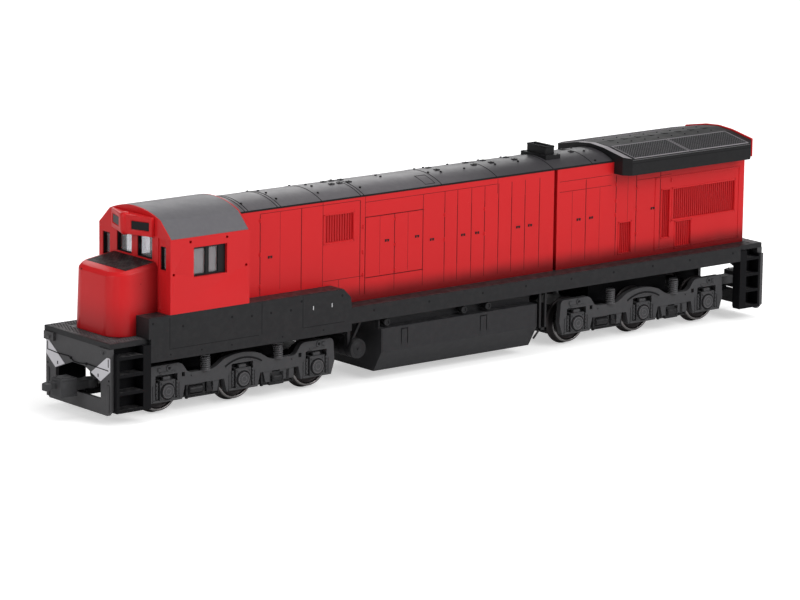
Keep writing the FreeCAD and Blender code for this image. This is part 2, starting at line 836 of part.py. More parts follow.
def make_platform():
    """The raised platform round the cab, with its deep side skirts."""
    front = CAB_FRONT + s.platform_lead
    points = [(front, DECK_TOP), (front, PLATFORM_TOP), (PLATFORM_REAR, PLATFORM_TOP),
              (PLATFORM_REAR - s.heel_run, PLATFORM_TOP - s.heel_rise), (SILL_FRONT, DECK_TOP)]
    block = slab("platform_block", "xz", points, -s.sill_outer, 2 * s.sill_outer)
    skirts = [box("skirt_" + side, (SILL_FRONT, low, DECK_TOP - s.skirt_depth),
                  (FRONT_POST, high, DECK_TOP + s.cut_over))
              for side, low, high in sides_of(s.deck_half_width, s.sill_outer)]
    hood = box("platform_hood_gap", (SILL_FRONT - s.cut_over, -s.hood_half, DECK_TOP),
               (CAB_REAR, s.hood_half, PLATFORM_TOP + s.cut_over))
    nose = box("platform_nose_gap", (CAB_FRONT, -s.nose_half, DECK_TOP),
               (front + s.cut_over, s.nose_half, PLATFORM_TOP + s.cut_over))
    part("cab_platform", cut("cab_platform", fuse("platform_solid", [block] + skirts), [hood, nose]))


def make_pilot(label, half, turn):
    """An end plate with a wide mouth for the coupler and two brackets below the deck."""
    shoulder = DECK_FLOOR - s.pilot_shoulder
    points = [(s.pilot_half, DECK_FLOOR), (s.pilot_half, shoulder)]
    if half.value > s.pilot_half.value:
        points.append((half, shoulder))
    points += [(half, s.pilot_floor + s.pilot_corner), (half - s.pilot_corner, s.pilot_floor)]
    plate = slab(label + "_plate", "yz", mirrored(points), PILOT_BACK, s.pilot_thick)
    side = s.mouth_floor + s.mouth_side
    mouth = [(s.mouth_peak_half, side + s.mouth_rise), (s.mouth_half, side), (s.mouth_half, s.mouth_floor)]
    gap = slab(label + "_mouth", "yz", mirrored(mouth), PILOT_BACK - s.cut_over,
               s.pilot_thick + 2 * s.cut_over)
    solids = [cut(label + "_cut", plate, [gap])]
    bracket_floor = DECK_FLOOR - s.bracket_height
    for name, low, high in sides_of(s.bracket_inner, s.pilot_half):
        solids.append(box(f"{label}_bracket_{name}", (PILOT_BACK, low, bracket_floor),
                          (PILOT_FACE + s.bracket_thick, high, DECK_FLOOR)))
    pilot = fuse(label, solids)
    if turn is not None:
        place(pilot, turn=turn)
    part(label, pilot)


def stair(name, low, high, post):
    """One stairwell: its post, its walls and its treads."""
    wall = s.stair_wall
    outward = low.value > 0
    inner = (low, low + wall) if outward else (high - wall, high)
    band = (high - s.post_depth, high) if outward else (low, low + s.post_depth)
    post_end = post + s.post_width
    floor = s.post_floor
    head = DECK_FLOOR - s.stair_drop
    pitch = (head - floor - s.tread_thick - s.tread_headroom) / (STEP_TREADS - 1)
    solids = [box(name + "_post", (post, band[0], floor), (post_end, band[1], DECK_FLOOR)),
              box(name + "_back", (post_end, inner[0], floor), (PILOT_BACK, inner[1], DECK_FLOOR)),
              box(name + "_web", (post_end - wall, low, floor), (post_end, high, DECK_FLOOR)),
              box(name + "_front", (PILOT_BACK - wall, low, floor), (PILOT_BACK, high, head))]
    for number in range(STEP_TREADS):
        level = floor + number * pitch
        solids.append(box(f"{name}_tread{number}", (post_end - wall, low, level),
                          (PILOT_BACK, high, level + s.tread_thick)))
    return fuse(name, solids)


def make_steps(label, turn, post):
    stairs = [stair(f"{label}_{side}", low, high, post)
              for side, low, high in sides_of(s.sill_outer - s.stair_depth, s.sill_outer)]
    steps = compound(label, stairs)
    if turn is not None:
        place(steps, turn=turn)
    part(label, steps)


def make_tank():
    """The fuel tank, its sides leaning in below the crease, hung from the deck."""
    top = DECK_TOP - s.sill_depth - s.tank_gap
    half = [(s.beam_half, BEAM_FLOOR), (s.beam_half, DECK_FLOOR), (s.tank_neck_half, DECK_FLOOR),
            (s.tank_neck_half, top), (s.tank_half, top), (s.tank_half, s.tank_crease),
            (s.tank_floor_half, s.tank_floor)]
    part("fuel_tank", slab("fuel_tank", "yz", mirrored(half), TANK_REAR, TANK_FRONT - TANK_REAR))


def make_reservoir(name):
    """An air reservoir across the frame, hung from the deck by a strap."""
    radius = s.reservoir_radius
    tank = many_sided(name + "_tank", RESERVOIR_SIDES, radius, s.reservoir_outer - s.reservoir_inner,
                      0, s.reservoir_inner, 0, Rotation(Vector(0, 0, 1), Vector(0, 1, 0)))
    strap = box(name + "_strap", (radius - s.strap_width, s.strap_inner, 0),
                (radius, s.strap_inner + s.strap_depth, DECK_FLOOR - s.reservoir_height))
    return fuse(name, [tank, strap])


def make_reservoirs():
    """Two reservoirs end to end; the right one is the left one turned about."""
    left = place(make_reservoir("reservoir_left"), RESERVOIR_PLACE, 0, s.reservoir_height)
    right = place(make_reservoir("reservoir_right"), RESERVOIR_PLACE, 0, s.reservoir_height,
                  Rotation(Vector(0, 0, 1), 180))
    part("air_reservoirs", compound("air_reservoirs", [left, right]))


# Cab and nose

def cab_outline(inset=0):
    """The cab seen from the front: sides, hips and an arched crest."""
    half = s.cab_half - inset
    hip = s.cab_hip_half - inset / 2
    return ([(half, PLATFORM_TOP), (half, CAB_EAVE), (hip, CAB_HIP - inset),
             (-hip, CAB_HIP - inset), (-half, CAB_EAVE), (-half, PLATFORM_TOP)],
            {2: (0, CAB_CREST - inset)})


def cab_block(name, inset, rear, front):
    points, arcs = cab_outline(inset)
    return slab(name, "yz", points, rear, front - rear, arcs)


def make_cab():
    """The cab's walls and, above the eaves, its roof between the rims of the two end walls."""
    wall, rim = s.cab_wall, s.cab_rim
    outer = cab_block("cab_outer", 0, CAB_REAR, CAB_FRONT)
    inner = cab_block("cab_inner", wall, CAB_REAR + wall, CAB_FRONT - wall)
    roof_outer = cab_block("roof_outer", 0, CAB_REAR + rim, CAB_FRONT - rim)
    roof_inner = cab_block("roof_inner", wall, CAB_REAR, CAB_FRONT)
    above = box("roof_zone", (CAB_REAR, -s.cab_half, CAB_EAVE), (CAB_FRONT, s.cab_half, CAB_CREST))
    roof = part("cab_roof", common("cab_roof", cut("roof_hollow", roof_outer, [roof_inner]), above))
    part("cab_shell", cut("cab_shell", outer, [inner, roof] + cab_windows() + rail_holes()))


def cab_windows():
    """Openings in the sides and in both end walls, and the recess of the front door."""
    over = s.cut_over
    behind = CAB_FRONT - s.cab_wall - over
    sill = PLATFORM_TOP + s.screen_sill_height
    bay_sill = PLATFORM_TOP + s.bay_sill_height
    bay_head = bay_sill + s.bay_window_height
    holes = [box("side_windows", (WINDOW_REAR, -s.cab_half - over, WINDOW_SILL),
                 (WINDOW_FRONT, s.cab_half + over, WINDOW_HEAD)),
             box("door_window", (behind, s.bay_inner, bay_sill),
                 (CAB_FRONT + over, s.door_window_outer, bay_head)),
             box("bay_window", (behind, -s.bay_window_outer, bay_sill),
                 (CAB_FRONT + over, -s.bay_inner, bay_head)),
             box("door_recess", (CAB_FRONT - s.door_recess, s.door_inner, PLATFORM_TOP + s.door_floor_gap),
                 (CAB_FRONT + over, s.door_outer, PLATFORM_TOP + s.door_floor_gap + s.door_height))]
    for side, low, high in sides_of(s.screen_inner, s.screen_outer):
        holes.append(box("screen_" + side, (behind, low, sill), (CAB_FRONT + over, high, SCREEN_HEAD)))
    for side, low, high in sides_of(s.bay_inner, s.bay_window_outer):
        holes.append(box("rear_window_" + side, (CAB_REAR - over, low, bay_sill),
                         (CAB_REAR + s.cab_wall + over, high, bay_head)))
    return holes


def rail_holes():
    """Handrail holes in each side wall: two above the window, one by each end."""
    margin = s.rail_hole_margin
    high_row = WINDOW_HEAD + s.rail_hole_rise
    low_row = WINDOW_SILL + s.rail_hole_low
    spots = ((WINDOW_REAR, high_row), (WINDOW_FRONT + margin, high_row),
             (CAB_REAR + margin, low_row), (CAB_FRONT - margin, low_row))
    holes = []
    for side, low, high in sides_of(s.cab_half - s.cab_wall, s.cab_half):
        start = low if side == "left" else low - s.cut_over
        for number, (x, z) in enumerate(spots):
            holes.append(rod(f"rail_hole_{side}{number}", s.rail_hole_radius,
                             s.cab_wall + s.cut_over, "y", x, start, z))
    return holes


def make_sashes():
    """The sliding frames in the cab's side windows: a rim and two uprights on each side."""
    bar = s.sash_bar
    frames = []
    for side, low, high in sides_of(s.cab_half - s.cab_wall, s.cab_half - s.cab_wall + s.sash_thick):
        outer = box("sash_rim_" + side, (WINDOW_REAR, low, WINDOW_SILL), (WINDOW_FRONT, high, WINDOW_HEAD))
        edges = [WINDOW_REAR, WINDOW_FRONT - s.sash_post, WINDOW_FRONT - s.sash_split, WINDOW_FRONT]
        holes = [box(f"sash_hole_{side}{number}",
                     (edges[number] + bar, low - s.cut_over, WINDOW_SILL + bar),
                     (edges[number + 1] - bar, high + s.cut_over, WINDOW_HEAD - bar))
                 for number in (1, 2)]
        frames.append(cut("sash_" + side, outer, holes))
    part("cab_window_frames", compound("cab_window_frames", frames))


def make_glazing():
    """Panes that lie against the insides of the cab's windows."""
    wall, thick, margin = s.cab_wall, s.glass_thick, s.cut_over / 2
    panes = []
    for side, low, high in sides_of(s.cab_half - wall - thick, s.cab_half - wall):
        panes.append(box("side_pane_" + side, (WINDOW_REAR - margin, low, WINDOW_SILL - margin),
                         (WINDOW_FRONT + margin, high, WINDOW_HEAD + margin)))
    front = CAB_FRONT - wall
    foot = PLATFORM_TOP + s.bay_sill_height - margin
    panes.append(box("front_pane", (front - thick, -s.bay_window_outer, foot),
                     (front, s.bay_window_outer, SCREEN_HEAD + margin)))
    part("cab_glazing", compound("cab_glazing", panes))


def nose_top(x):
    """Height of the nose's sloping top at a distance along the locomotive."""
    share = (x - CAB_FRONT) / (s.nose_length - s.nose_lean)
    return NOSE_BACK - share * s.nose_slope


def make_nose():
    """The short nose: rounded corners, a bevelled brow, and a tread panel let into its sloping top."""
    body = doc.addObject("PartDesign::Body", "nose_block")
    lip = NOSE_FRONT - s.nose_lean
    points = [(CAB_FRONT, DECK_TOP), (NOSE_FRONT, DECK_TOP), (lip, nose_top(lip)), (CAB_FRONT, NOSE_BACK)]
    pad(body, "xz", points, -s.nose_half, 2 * s.nose_half)
    middle = (CAB_FRONT.value + NOSE_FRONT.value) / 2
    upright = s.nose_half.value
    soften(body, "Fillet", lambda a, b: min(a.x, b.x) > middle and abs(a.z - b.z) > upright,
           "Radius", s.nose_corner)
    brow = nose_top(lip).value - upright / 2
    soften(body, "Chamfer", lambda a, b: min(a.z, b.z) > brow and max(a.x, b.x) > middle,
           "Size", s.nose_brow)
    front = lip - s.nose_panel_front
    half = s.nose_half - s.nose_panel_side
    bed = s.nose_panel_depth
    floor = [(CAB_FRONT, NOSE_BACK - bed), (front, nose_top(front) - bed)]
    tread = floor + [(front, nose_top(front)), (CAB_FRONT, NOSE_BACK)]
    pocket = slab("nose_pocket", "xz", floor + [(front, NOSE_BACK), (CAB_FRONT, NOSE_BACK)],
                  -half, 2 * half)
    part("nose", cut("nose", body, [pocket]))
    part("nose_tread_panel", slab("nose_tread_panel", "xz", tread, -half, 2 * half))


# Hoods and roofs

def hood_shell(name, rear, front):
    """A hood's side and end walls, open below and above."""
    body = doc.addObject("PartDesign::Body", name)
    half = s.hood_half
    pad(body, "xy", [(rear, -half), (front, -half), (front, half), (rear, half)], DECK_TOP, s.hood_height)
    inner = half - s.hood_wall
    drawing = sketch(body, "xy", HOOD_EAVE)
    outline(drawing, [(rear + s.hood_wall, -inner), (front - s.hood_wall, -inner),
                      (front - s.hood_wall, inner), (rear + s.hood_wall, inner)])
    pocket = body.newObject("PartDesign::Pocket", name + "_hollow")
    pocket.Profile = drawing
    pocket.Type = 0
    bind(pocket, "Length", s.hood_height)
    return body


def grooves(name, rear, front, low, high, depth):
    """The same shallow cut in both sides of a hood."""
    return [box(f"{name}_{side}", (rear, inner, low), (front, outer, high))
            for side, inner, outer in sides_of(s.hood_half - depth, s.hood_half + s.cut_over)]


def seams(name, front, length, shares, low, high):
    """Upright seams at shares of a hood's length behind its front end."""
    cuts = []
    half = s.seam_width / 2
    for number, share in enumerate(shares):
        x = front - length * share
        cuts += grooves(f"{name}{number}", x - half, x + half, low, high, s.seam_depth)
    return cuts


def louvre(name, rear, length, rise, height):
    """The sunk bed of a louvre in both sides of a hood."""
    low = DECK_TOP + rise
    return grooves(name, rear, rear + length, low, low + height, s.louvre_depth)


def make_engine_hood():
    """The long hood's front part: doors between seams, and the bed of the air intake's louvre."""
    length = s.engine_hood_length
    foot, head = DECK_TOP + s.door_foot, HOOD_EAVE - s.door_head
    first, last = ENGINE_DOOR_SHARES[0], ENGINE_DOOR_SHARES[-1]
    cuts = seams("tall_seam", CAB_REAR, length, ENGINE_TALL_SHARES, foot, HOOD_EAVE - s.tall_head)
    cuts += seams("door_seam", CAB_REAR, length, ENGINE_DOOR_SHARES, foot, head)
    for name, z in (("door_foot", foot), ("door_head", head)):
        cuts += grooves(name, CAB_REAR - length * last, CAB_REAR - length * first,
                        z, z + s.seam_width, s.seam_depth)
    intake = CAB_REAR - s.intake_place - s.intake_length
    cuts += louvre("intake", intake, s.intake_length, s.intake_rise, s.intake_height)
    shell = hood_shell("engine_hood_shell", HOOD_JOINT, CAB_REAR)
    part("engine_hood", cut("engine_hood", shell, [compound("engine_hood_cuts", cuts)]))


def end_wall_outline():
    """The rear wall: as wide as the hood below, and under the wings' slopes above."""
    half = s.radiator_half - s.end_wall_inset
    drop = s.end_wall_drop
    shoulder = WING_EAVE + WING_SLOPE * s.end_wall_inset
    return [(0, RADIATOR_CREST - drop), (s.radiator_knee_half, WING_KNEE - drop), (half, shoulder - drop),
            (half, WING_FLOOR), (s.hood_half, WING_FLOOR), (s.hood_half, DECK_TOP)]


def make_radiator_hood():
    """The long hood's rear part: beds of the radiator louvres, doors and the rear end wall."""
    front = HOOD_JOINT - s.joint_width
    cuts = seams("rear_seam", front, front - HOOD_END, RADIATOR_TALL_SHARES,
                 DECK_TOP + s.door_foot, WING_FLOOR - s.tall_head)
    rows = (("vent", s.vent_place, s.vent_length, s.vent_rise, s.vent_height),
            ("slim", s.slim_place, s.slim_length, s.slim_rise, s.slim_height),
            ("low", s.low_place, s.low_length, s.low_rise, s.low_height),
            ("side", s.side_place, s.side_length, s.side_rise, s.side_height))
    for name, behind, length, rise, height in rows:
        cuts += louvre(name, HOOD_END + behind, length, rise, height)
    shell = cut("radiator_hood_cut", hood_shell("radiator_hood_shell", HOOD_END, front),
                [compound("radiator_hood_cuts", cuts)])
    half = end_wall_outline()
    wall = slab("rear_end_wall", "yz", half + [(-x, y) for x, y in reversed(half[1:])],
                HOOD_END - s.end_wall, s.end_wall)
    part("radiator_hood", fuse("radiator_hood", [shell, wall]))


def hood_arch(name):
    """The arched segment above the hoods' eaves."""
    return slab(name, "yz", [(s.hood_half, HOOD_EAVE), (-s.hood_half, HOOD_EAVE)], RADIATOR_FRONT,
                CAB_REAR - RADIATOR_FRONT, {0: (0, HOOD_CREST)})


def make_hood_roof():
    part("hood_roof", hood_arch("hood_roof"))


def mesh_pocket(name, rear, front):
    """A shallow bed for a mesh on each slope of the radiator roof."""
    inner = s.radiator_knee_half + s.mesh_margin
    outer = s.radiator_half - s.mesh_margin
    high = WING_KNEE - WING_SLOPE * s.mesh_margin
    low = WING_EAVE + WING_SLOPE * s.mesh_margin
    depth = s.mesh_depth
    points = [(inner, high - depth), (inner, high + depth), (outer, low + depth), (outer, low - depth)]
    opposite = [(-along, up) for along, up in points]
    return [slab(name + "_left", "yz", points, rear, front - rear),
            slab(name + "_right", "yz", opposite, rear, front - rear)]


def make_radiator_roof():
    """The wide roof over the radiators, its wings beyond the hood's sides, with beds for meshes."""
    body = doc.addObject("PartDesign::Body", "radiator_block")
    half = [(0, RADIATOR_CREST), (s.radiator_knee_half, WING_KNEE), (s.radiator_half, WING_EAVE),
            (s.radiator_half, WING_FLOOR), (s.hood_half, WING_FLOOR), (s.hood_half, HOOD_EAVE)]
    pad(body, "yz", half + [(-x, y) for x, y in reversed(half[1:])], HOOD_END, s.radiator_length)
    edge = s.radiator_half.value
    soften(body, "Chamfer", lambda a, b: same(abs(a.y), edge) and same(a.x, b.x) and same(a.y, b.y),
           "Size", s.radiator_corner)
    band = s.radiator_band + s.mesh_margin
    split = HOOD_END + s.radiator_length * MESH_SPLIT_SHARE
    cuts = mesh_pocket("rear_mesh", HOOD_END + s.radiator_corner + s.mesh_bar, split - s.mesh_bar / 2)
    cuts += mesh_pocket("front_mesh", split + s.mesh_bar / 2, RADIATOR_FRONT - s.radiator_corner - band)
    part("radiator_roof", cut("radiator_roof", body, cuts))


def make_stack():
    """The exhaust stack across the crest: a thick base that follows the arch, and an open box."""
    middle = HOOD_JOINT - s.stack_setback

    def centred(name, length, width, low, high):
        return box(name, (middle - length / 2, -width / 2, low), (middle + length / 2, width / 2, high))
    low = HOOD_EAVE
    base_top = HOOD_CREST + s.stack_base_height
    top = base_top + s.stack_height
    wall = s.stack_wall
    base = centred("stack_base", s.stack_base_length, s.stack_base_width, low, base_top)
    tube = centred("stack_tube", s.stack_length, s.stack_width, low, top)
    bore = centred("stack_bore", s.stack_length - 2 * wall, s.stack_width - 2 * wall,
                   base_top, top + s.cut_over)
    part("exhaust_stack", cut("exhaust_stack", fuse("stack_solid", [base, tube]),
                              [bore, hood_arch("stack_seat")]))


def board_recess(name, face, side, low, high):
    """The bed of a blank number board in one slanted face of a housing."""
    corner = (face + s.housing_heel, s.housing_wing)
    run = (s.housing_reach - s.housing_heel, s.housing_half - s.housing_wing)
    points = []
    start, stop = BOARD_START_SHARE, BOARD_END_SHARE
    deep, proud = -s.board_recess, s.cut_over
    for share, shift in ((start, deep), (stop, deep), (stop, proud), (start, proud)):
        points.append((corner[0] + run[0] * share + shift, side * (corner[1] + run[1] * share)))
    return slab(name, "xy", points, low, high - low)


def make_housing(label, face, turn):
    """A number housing with a sharp prow and a bed for a blank board on each slanted face."""
    reach = face + s.housing_reach
    points = [(face, -s.housing_wing), (face + s.housing_heel, -s.housing_wing), (reach, -s.housing_half),
              (reach, s.housing_half), (face + s.housing_heel, s.housing_wing), (face, s.housing_wing)]
    low = SCREEN_HEAD + s.housing_gap
    block = slab(label + "_block", "xy", points, low, s.housing_height)
    edge = s.housing_height * BOARD_EDGE_SHARE
    beds = [board_recess(f"{label}_bed{number}", face, side, low + edge, low + s.housing_height - edge)
            for number, side in enumerate((1, -1))]
    housing = cut(label, block, beds)
    if turn is not None:
        place(housing, turn=turn)
    part(label, housing)


def make_weight():
    """The motor and the weight, as one block inside the engine hood."""
    rear = HOOD_JOINT + s.hood_wall + s.weight_gap
    half = s.weight_half_width
    part("motor_and_weight_block", box("weight_block", (rear, -half, DECK_TOP),
                                       (rear + s.weight_length, half, DECK_TOP + s.weight_height)))


def build():
    about = Rotation(Vector(0, 0, 1), 180)
    make_underframe()
    make_side_sills()
    make_platform()
    make_pilot("front_pilot", s.pilot_half, None)
    make_pilot("rear_pilot", s.rear_pilot_half, about)
    make_steps("front_steps", None, FRONT_POST)
    make_steps("rear_steps", about, REAR_POST)
    make_tank()
    make_reservoirs()
    make_cab()
    make_sashes()
    make_glazing()
    make_nose()
    make_engine_hood()
    make_radiator_hood()
    make_hood_roof()
    make_radiator_roof()
    make_stack()
    make_housing("front_number_housing", CAB_FRONT, None)
    make_housing("rear_number_housing", -HOOD_END + s.end_wall, about)
    make_weight()
    make_bogie("front", s.bolster_place, None)
    make_bogie("rear", -s.bolster_place, about)
    doc.recompute()


def check():
    for obj in doc.Objects:
        bad = [state for state in obj.State if state in ("Invalid", "Error")]
        if bad:
            raise RuntimeError(f"{obj.Label} is {bad}")
    for obj in parts:
        if obj.Shape.isNull() or not obj.Shape.isValid():
            raise RuntimeError(f"{obj.Label} has no valid shape")


def write():
    os.makedirs("parts", exist_ok=True)
    for obj in parts:
        obj.Shape.exportStep(f"parts/{obj.Label}.step")


build()
check()
write()
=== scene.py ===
"""A model diesel locomotive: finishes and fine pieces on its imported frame."""

import json
import math

import bmesh
import bpy
from bpy.props import FloatProperty, FloatVectorProperty, IntProperty, PointerProperty
from mathutils import Matrix, Vector


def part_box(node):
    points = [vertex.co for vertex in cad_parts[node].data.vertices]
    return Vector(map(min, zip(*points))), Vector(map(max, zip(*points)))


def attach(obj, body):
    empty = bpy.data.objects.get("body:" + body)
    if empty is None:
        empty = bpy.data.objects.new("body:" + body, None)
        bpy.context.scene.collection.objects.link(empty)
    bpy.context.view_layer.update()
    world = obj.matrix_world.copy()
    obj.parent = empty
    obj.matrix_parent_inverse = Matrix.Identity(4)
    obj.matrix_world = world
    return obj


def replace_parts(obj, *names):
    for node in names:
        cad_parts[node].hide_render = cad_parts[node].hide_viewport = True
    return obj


bl_info = {
    "name": "Model Diesel Locomotive",
    "version": (1, 0, 0),
    "blender": (4, 5, 0),
    "location": "3D View > Sidebar > Locomotive",
    "description": "Finishes and fine pieces for a six-axle model diesel locomotive",
    "category": "Object",
}

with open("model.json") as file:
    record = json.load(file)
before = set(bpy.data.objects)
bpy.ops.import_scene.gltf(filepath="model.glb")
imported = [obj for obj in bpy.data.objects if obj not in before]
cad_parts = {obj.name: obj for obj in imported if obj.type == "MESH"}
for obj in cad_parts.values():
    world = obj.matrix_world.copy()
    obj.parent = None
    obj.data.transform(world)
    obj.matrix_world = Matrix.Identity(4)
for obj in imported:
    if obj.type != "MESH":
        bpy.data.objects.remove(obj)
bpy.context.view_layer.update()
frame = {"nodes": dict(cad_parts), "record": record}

MM = 0.001
ENDS = (("front", 1), ("rear", -1))
SIDES = (("left", 1), ("right", -1))
FINISHES = {}

# Places on the frame, in millimetres
AXLE = 6.8                  # height of the axles
AXLE_PITCH = 25.15
CAP = 13.5                  # journal caps' faces, from the middle
HOOD = 10.5                 # the hoods' sides, from the middle
SKIRT = 16.3                # the sides of skirts, sills and tank, from the middle
ROOF_RADIUS = 21.767        # bow of the hoods' roof, and the height of its centre
ROOF_CENTRE = 32.233
SLOPE_FOOT = 52.75          # lower edge of the radiator roof's slopes: height, and place from the middle
SLOPE_SIDE = 16.1
SLOPE_RISE = 2.0 / 10.5

# Where a red wall's painted shade starts, in metres, and its colour
DECK = 0.0223
RED_PAINTED_SHADE = (0.115, 0.003, 0.004)
MID_GREY = (0.5, 0.5, 0.5, 1)


class LocomotiveColours(bpy.types.PropertyGroup):
    """Colours and surface settings of the moulded parts."""

    body_red: FloatVectorProperty(
        name="Body red", description="Colour of the cab, nose and hoods",
        subtype="COLOR", size=3, min=0, max=1, default=(0.58, 0.013, 0.016))
    cab_grey: FloatVectorProperty(
        name="Cab roof grey", description="Colour of the roof over the cab",
        subtype="COLOR", size=3, min=0, max=1, default=(0.115, 0.112, 0.122))
    roof_grey: FloatVectorProperty(
        name="Hood roof grey", description="Colour of the long roof over the hoods",
        subtype="COLOR", size=3, min=0, max=1, default=(0.105, 0.100, 0.108))
    frame_black: FloatVectorProperty(
        name="Underframe black", description="Colour of the deck, skirts, steps and tank",
        subtype="COLOR", size=3, min=0, max=1, default=(0.014, 0.014, 0.0155))
    bogie_black: FloatVectorProperty(
        name="Bogie grey", description="Colour of the bogies and the coupler heads",
        subtype="COLOR", size=3, min=0, max=1, default=(0.050, 0.050, 0.053))
    stripe_white: FloatVectorProperty(
        name="Stripe white", description="Colour of the bands on the end plates",
        subtype="COLOR", size=3, min=0, max=1, default=(0.60, 0.59, 0.62))
    rim_steel: FloatVectorProperty(
        name="Rim steel", description="Colour of the wheels' bright rims",
        subtype="COLOR", size=3, min=0, max=1, default=(0.22, 0.21, 0.21))
    grain: FloatProperty(
        name="Moulded grain", description="Strength of the fine grain in the plastic",
        subtype="FACTOR", min=0, max=1, default=0.22)


class LocomotiveSizes(bpy.types.PropertyGroup):
    """Sizes of the small repeated pieces."""

    rivet: FloatProperty(
        name="Rivet radius", description="Radius of a rivet head on the underframe",
        unit="LENGTH", min=0.0001, max=0.001, default=0.00050)
    bolt: FloatProperty(
        name="Bolt radius", description="Radius of a bolt head on a bogie",
        unit="LENGTH", min=0.0001, max=0.001, default=0.00030)
    spring_wire: FloatProperty(
        name="Spring wire radius", description="Radius of the wire of a coil spring",
        unit="LENGTH", min=0.0001, max=0.0006, default=0.00026)
    spring_turns: IntProperty(
        name="Spring turns", description="Number of turns in a coil spring",
        min=3, max=9, default=6)
    seam: FloatProperty(
        name="Roof seam width", description="Width of a seam strip across the roof",
        unit="LENGTH", min=0.0001, max=0.001, default=0.00022)
    tread_pitch: FloatProperty(
        name="Tread pitch", description="Distance between the studs of a tread plate",
        unit="LENGTH", min=0.0004, max=0.002, default=0.00085)


def colours():
    return bpy.context.scene.locomotive_colours


def sizes():
    return bpy.context.scene.locomotive_sizes


def corners(node):
    """Lowest and highest corner of a node, in millimetres."""
    low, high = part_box(node)
    return low / MM, high / MM


def end_face(node, way):
    """Place of the face that a node turns to one end."""
    return corners(node)[way > 0].x


def middle_of(node):
    """Middle of a node, in millimetres."""
    low, high = corners(node)
    return (low + high) / 2


# Shapes, all in millimetres

def edges_of(verts):
    """The edges at some vertices, each once and in the same order in each run."""
    return list(dict.fromkeys(edge for vert in verts for edge in vert.link_edges))


def faces_of(verts):
    return list(dict.fromkeys(face for vert in verts for face in vert.link_faces))


def round_edges(bm, edges, offset, segments=2):
    bmesh.ops.bevel(bm, geom=edges, offset=offset, affect="EDGES", segments=segments, profile=0.5,
                    material=-1, clamp_overlap=segments > 2)


def add_block(bm, low, high, round_off=0.0):
    """A block between two corners, its edges softened."""
    low, high = Vector(low), Vector(high)
    made = bmesh.ops.create_cube(bm, size=1.0)["verts"]
    bmesh.ops.scale(bm, vec=[abs(v) for v in high - low], verts=made)
    bmesh.ops.translate(bm, vec=(low + high) / 2, verts=made)
    if round_off:
        round_edges(bm, edges_of(made), round_off)


def add_blocks(bm, x, side, rows, way=1):
    """Blocks past a place along the locomotive, each by its reach along, across and up."""
    for x0, x1, y0, y1, z0, z1, *round_off in rows:
        add_block(bm, (x + way * x0, side * y0, z0), (x + way * x1, side * y1, z1), *round_off)


def add_rod(bm, start, end, radius, tip=None, sides=20, round_off=0.0):
    """A round bar from one point to another, its end rims softened."""
    start, end = Vector(start), Vector(end)
    along = end - start
    stand = Matrix.Translation((start + end) / 2) @ along.to_track_quat("Z", "Y").to_matrix().to_4x4()
    made = bmesh.ops.create_cone(bm, cap_ends=True, segments=sides, radius1=radius,
                                 radius2=radius if tip is None else tip, depth=along.length,
                                 matrix=stand)["verts"]
    if round_off:
        rims = [edge for edge in edges_of(made) if any(len(face.verts) == sides for face in edge.link_faces)]
        round_edges(bm, rims, round_off)


def add_bolt(bm, at, out, radius, height=None, sides=6):
    """A low bolt or rivet head that stands out from a face."""
    at, out = Vector(at), Vector(out)
    add_rod(bm, at - out * radius, at + out * (height or radius * 0.8), radius, radius * 0.72, sides)


def add_turned(bm, centre, axis, profile, sides=40):
    """Spin a run of (along, radius) pairs once round an axis through a centre."""
    centre, axis = Vector(centre), Vector(axis)
    out = axis.orthogonal().normalized()
    verts = [bm.verts.new(centre + axis * along + out * radius) for along, radius in profile]
    edges = [bm.edges.new(pair) for pair in zip(verts, verts[1:])]
    bmesh.ops.spin(bm, geom=verts + edges, cent=centre, axis=axis, angle=2 * math.pi, steps=sides,
                   use_merge=True)
    bmesh.ops.remove_doubles(bm, verts=bm.verts, dist=1e-5)


def add_plate(bm, outline, thick):
    """A flat outline given a thickness along a vector."""
    face = bm.faces.new([bm.verts.new(point) for point in outline])
    made = bmesh.ops.extrude_face_region(bm, geom=[face])["geom"]
    bmesh.ops.translate(bm, vec=thick, verts=[v for v in made if isinstance(v, bmesh.types.BMVert)])


def add_arc_bar(bm, centre, axis, radius, start, sweep, wide, high, steps):
    """A bar of rectangular section bent round an axis along X or Y, from an angle above the horizon."""
    centre, axis = Vector(centre), Vector(axis)
    level = Vector((0, 1, 0)) if axis.x else Vector((1, 0, 0))
    out = Matrix.Rotation(start, 3, axis) @ level
    section = [(-wide / 2, 0), (wide / 2, 0), (wide / 2, high), (-wide / 2, high)]
    face = bm.faces.new([bm.verts.new(centre + axis * a + out * (radius + b)) for a, b in section])
    bmesh.ops.spin(bm, geom=[face], cent=centre, axis=axis, angle=sweep, steps=steps)


def border(left, right, foot, head, width):
    """The four bars just inside a rectangle, each by its sides."""
    return ((left, right, foot, foot + width), (left, right, head - width, head),
            (left, left + width, foot, head), (right - width, right, foot, head))


def new_meshes(count):
    """Empty meshes, one for each piece that is to be made."""
    return [bmesh.new() for _ in range(count)]


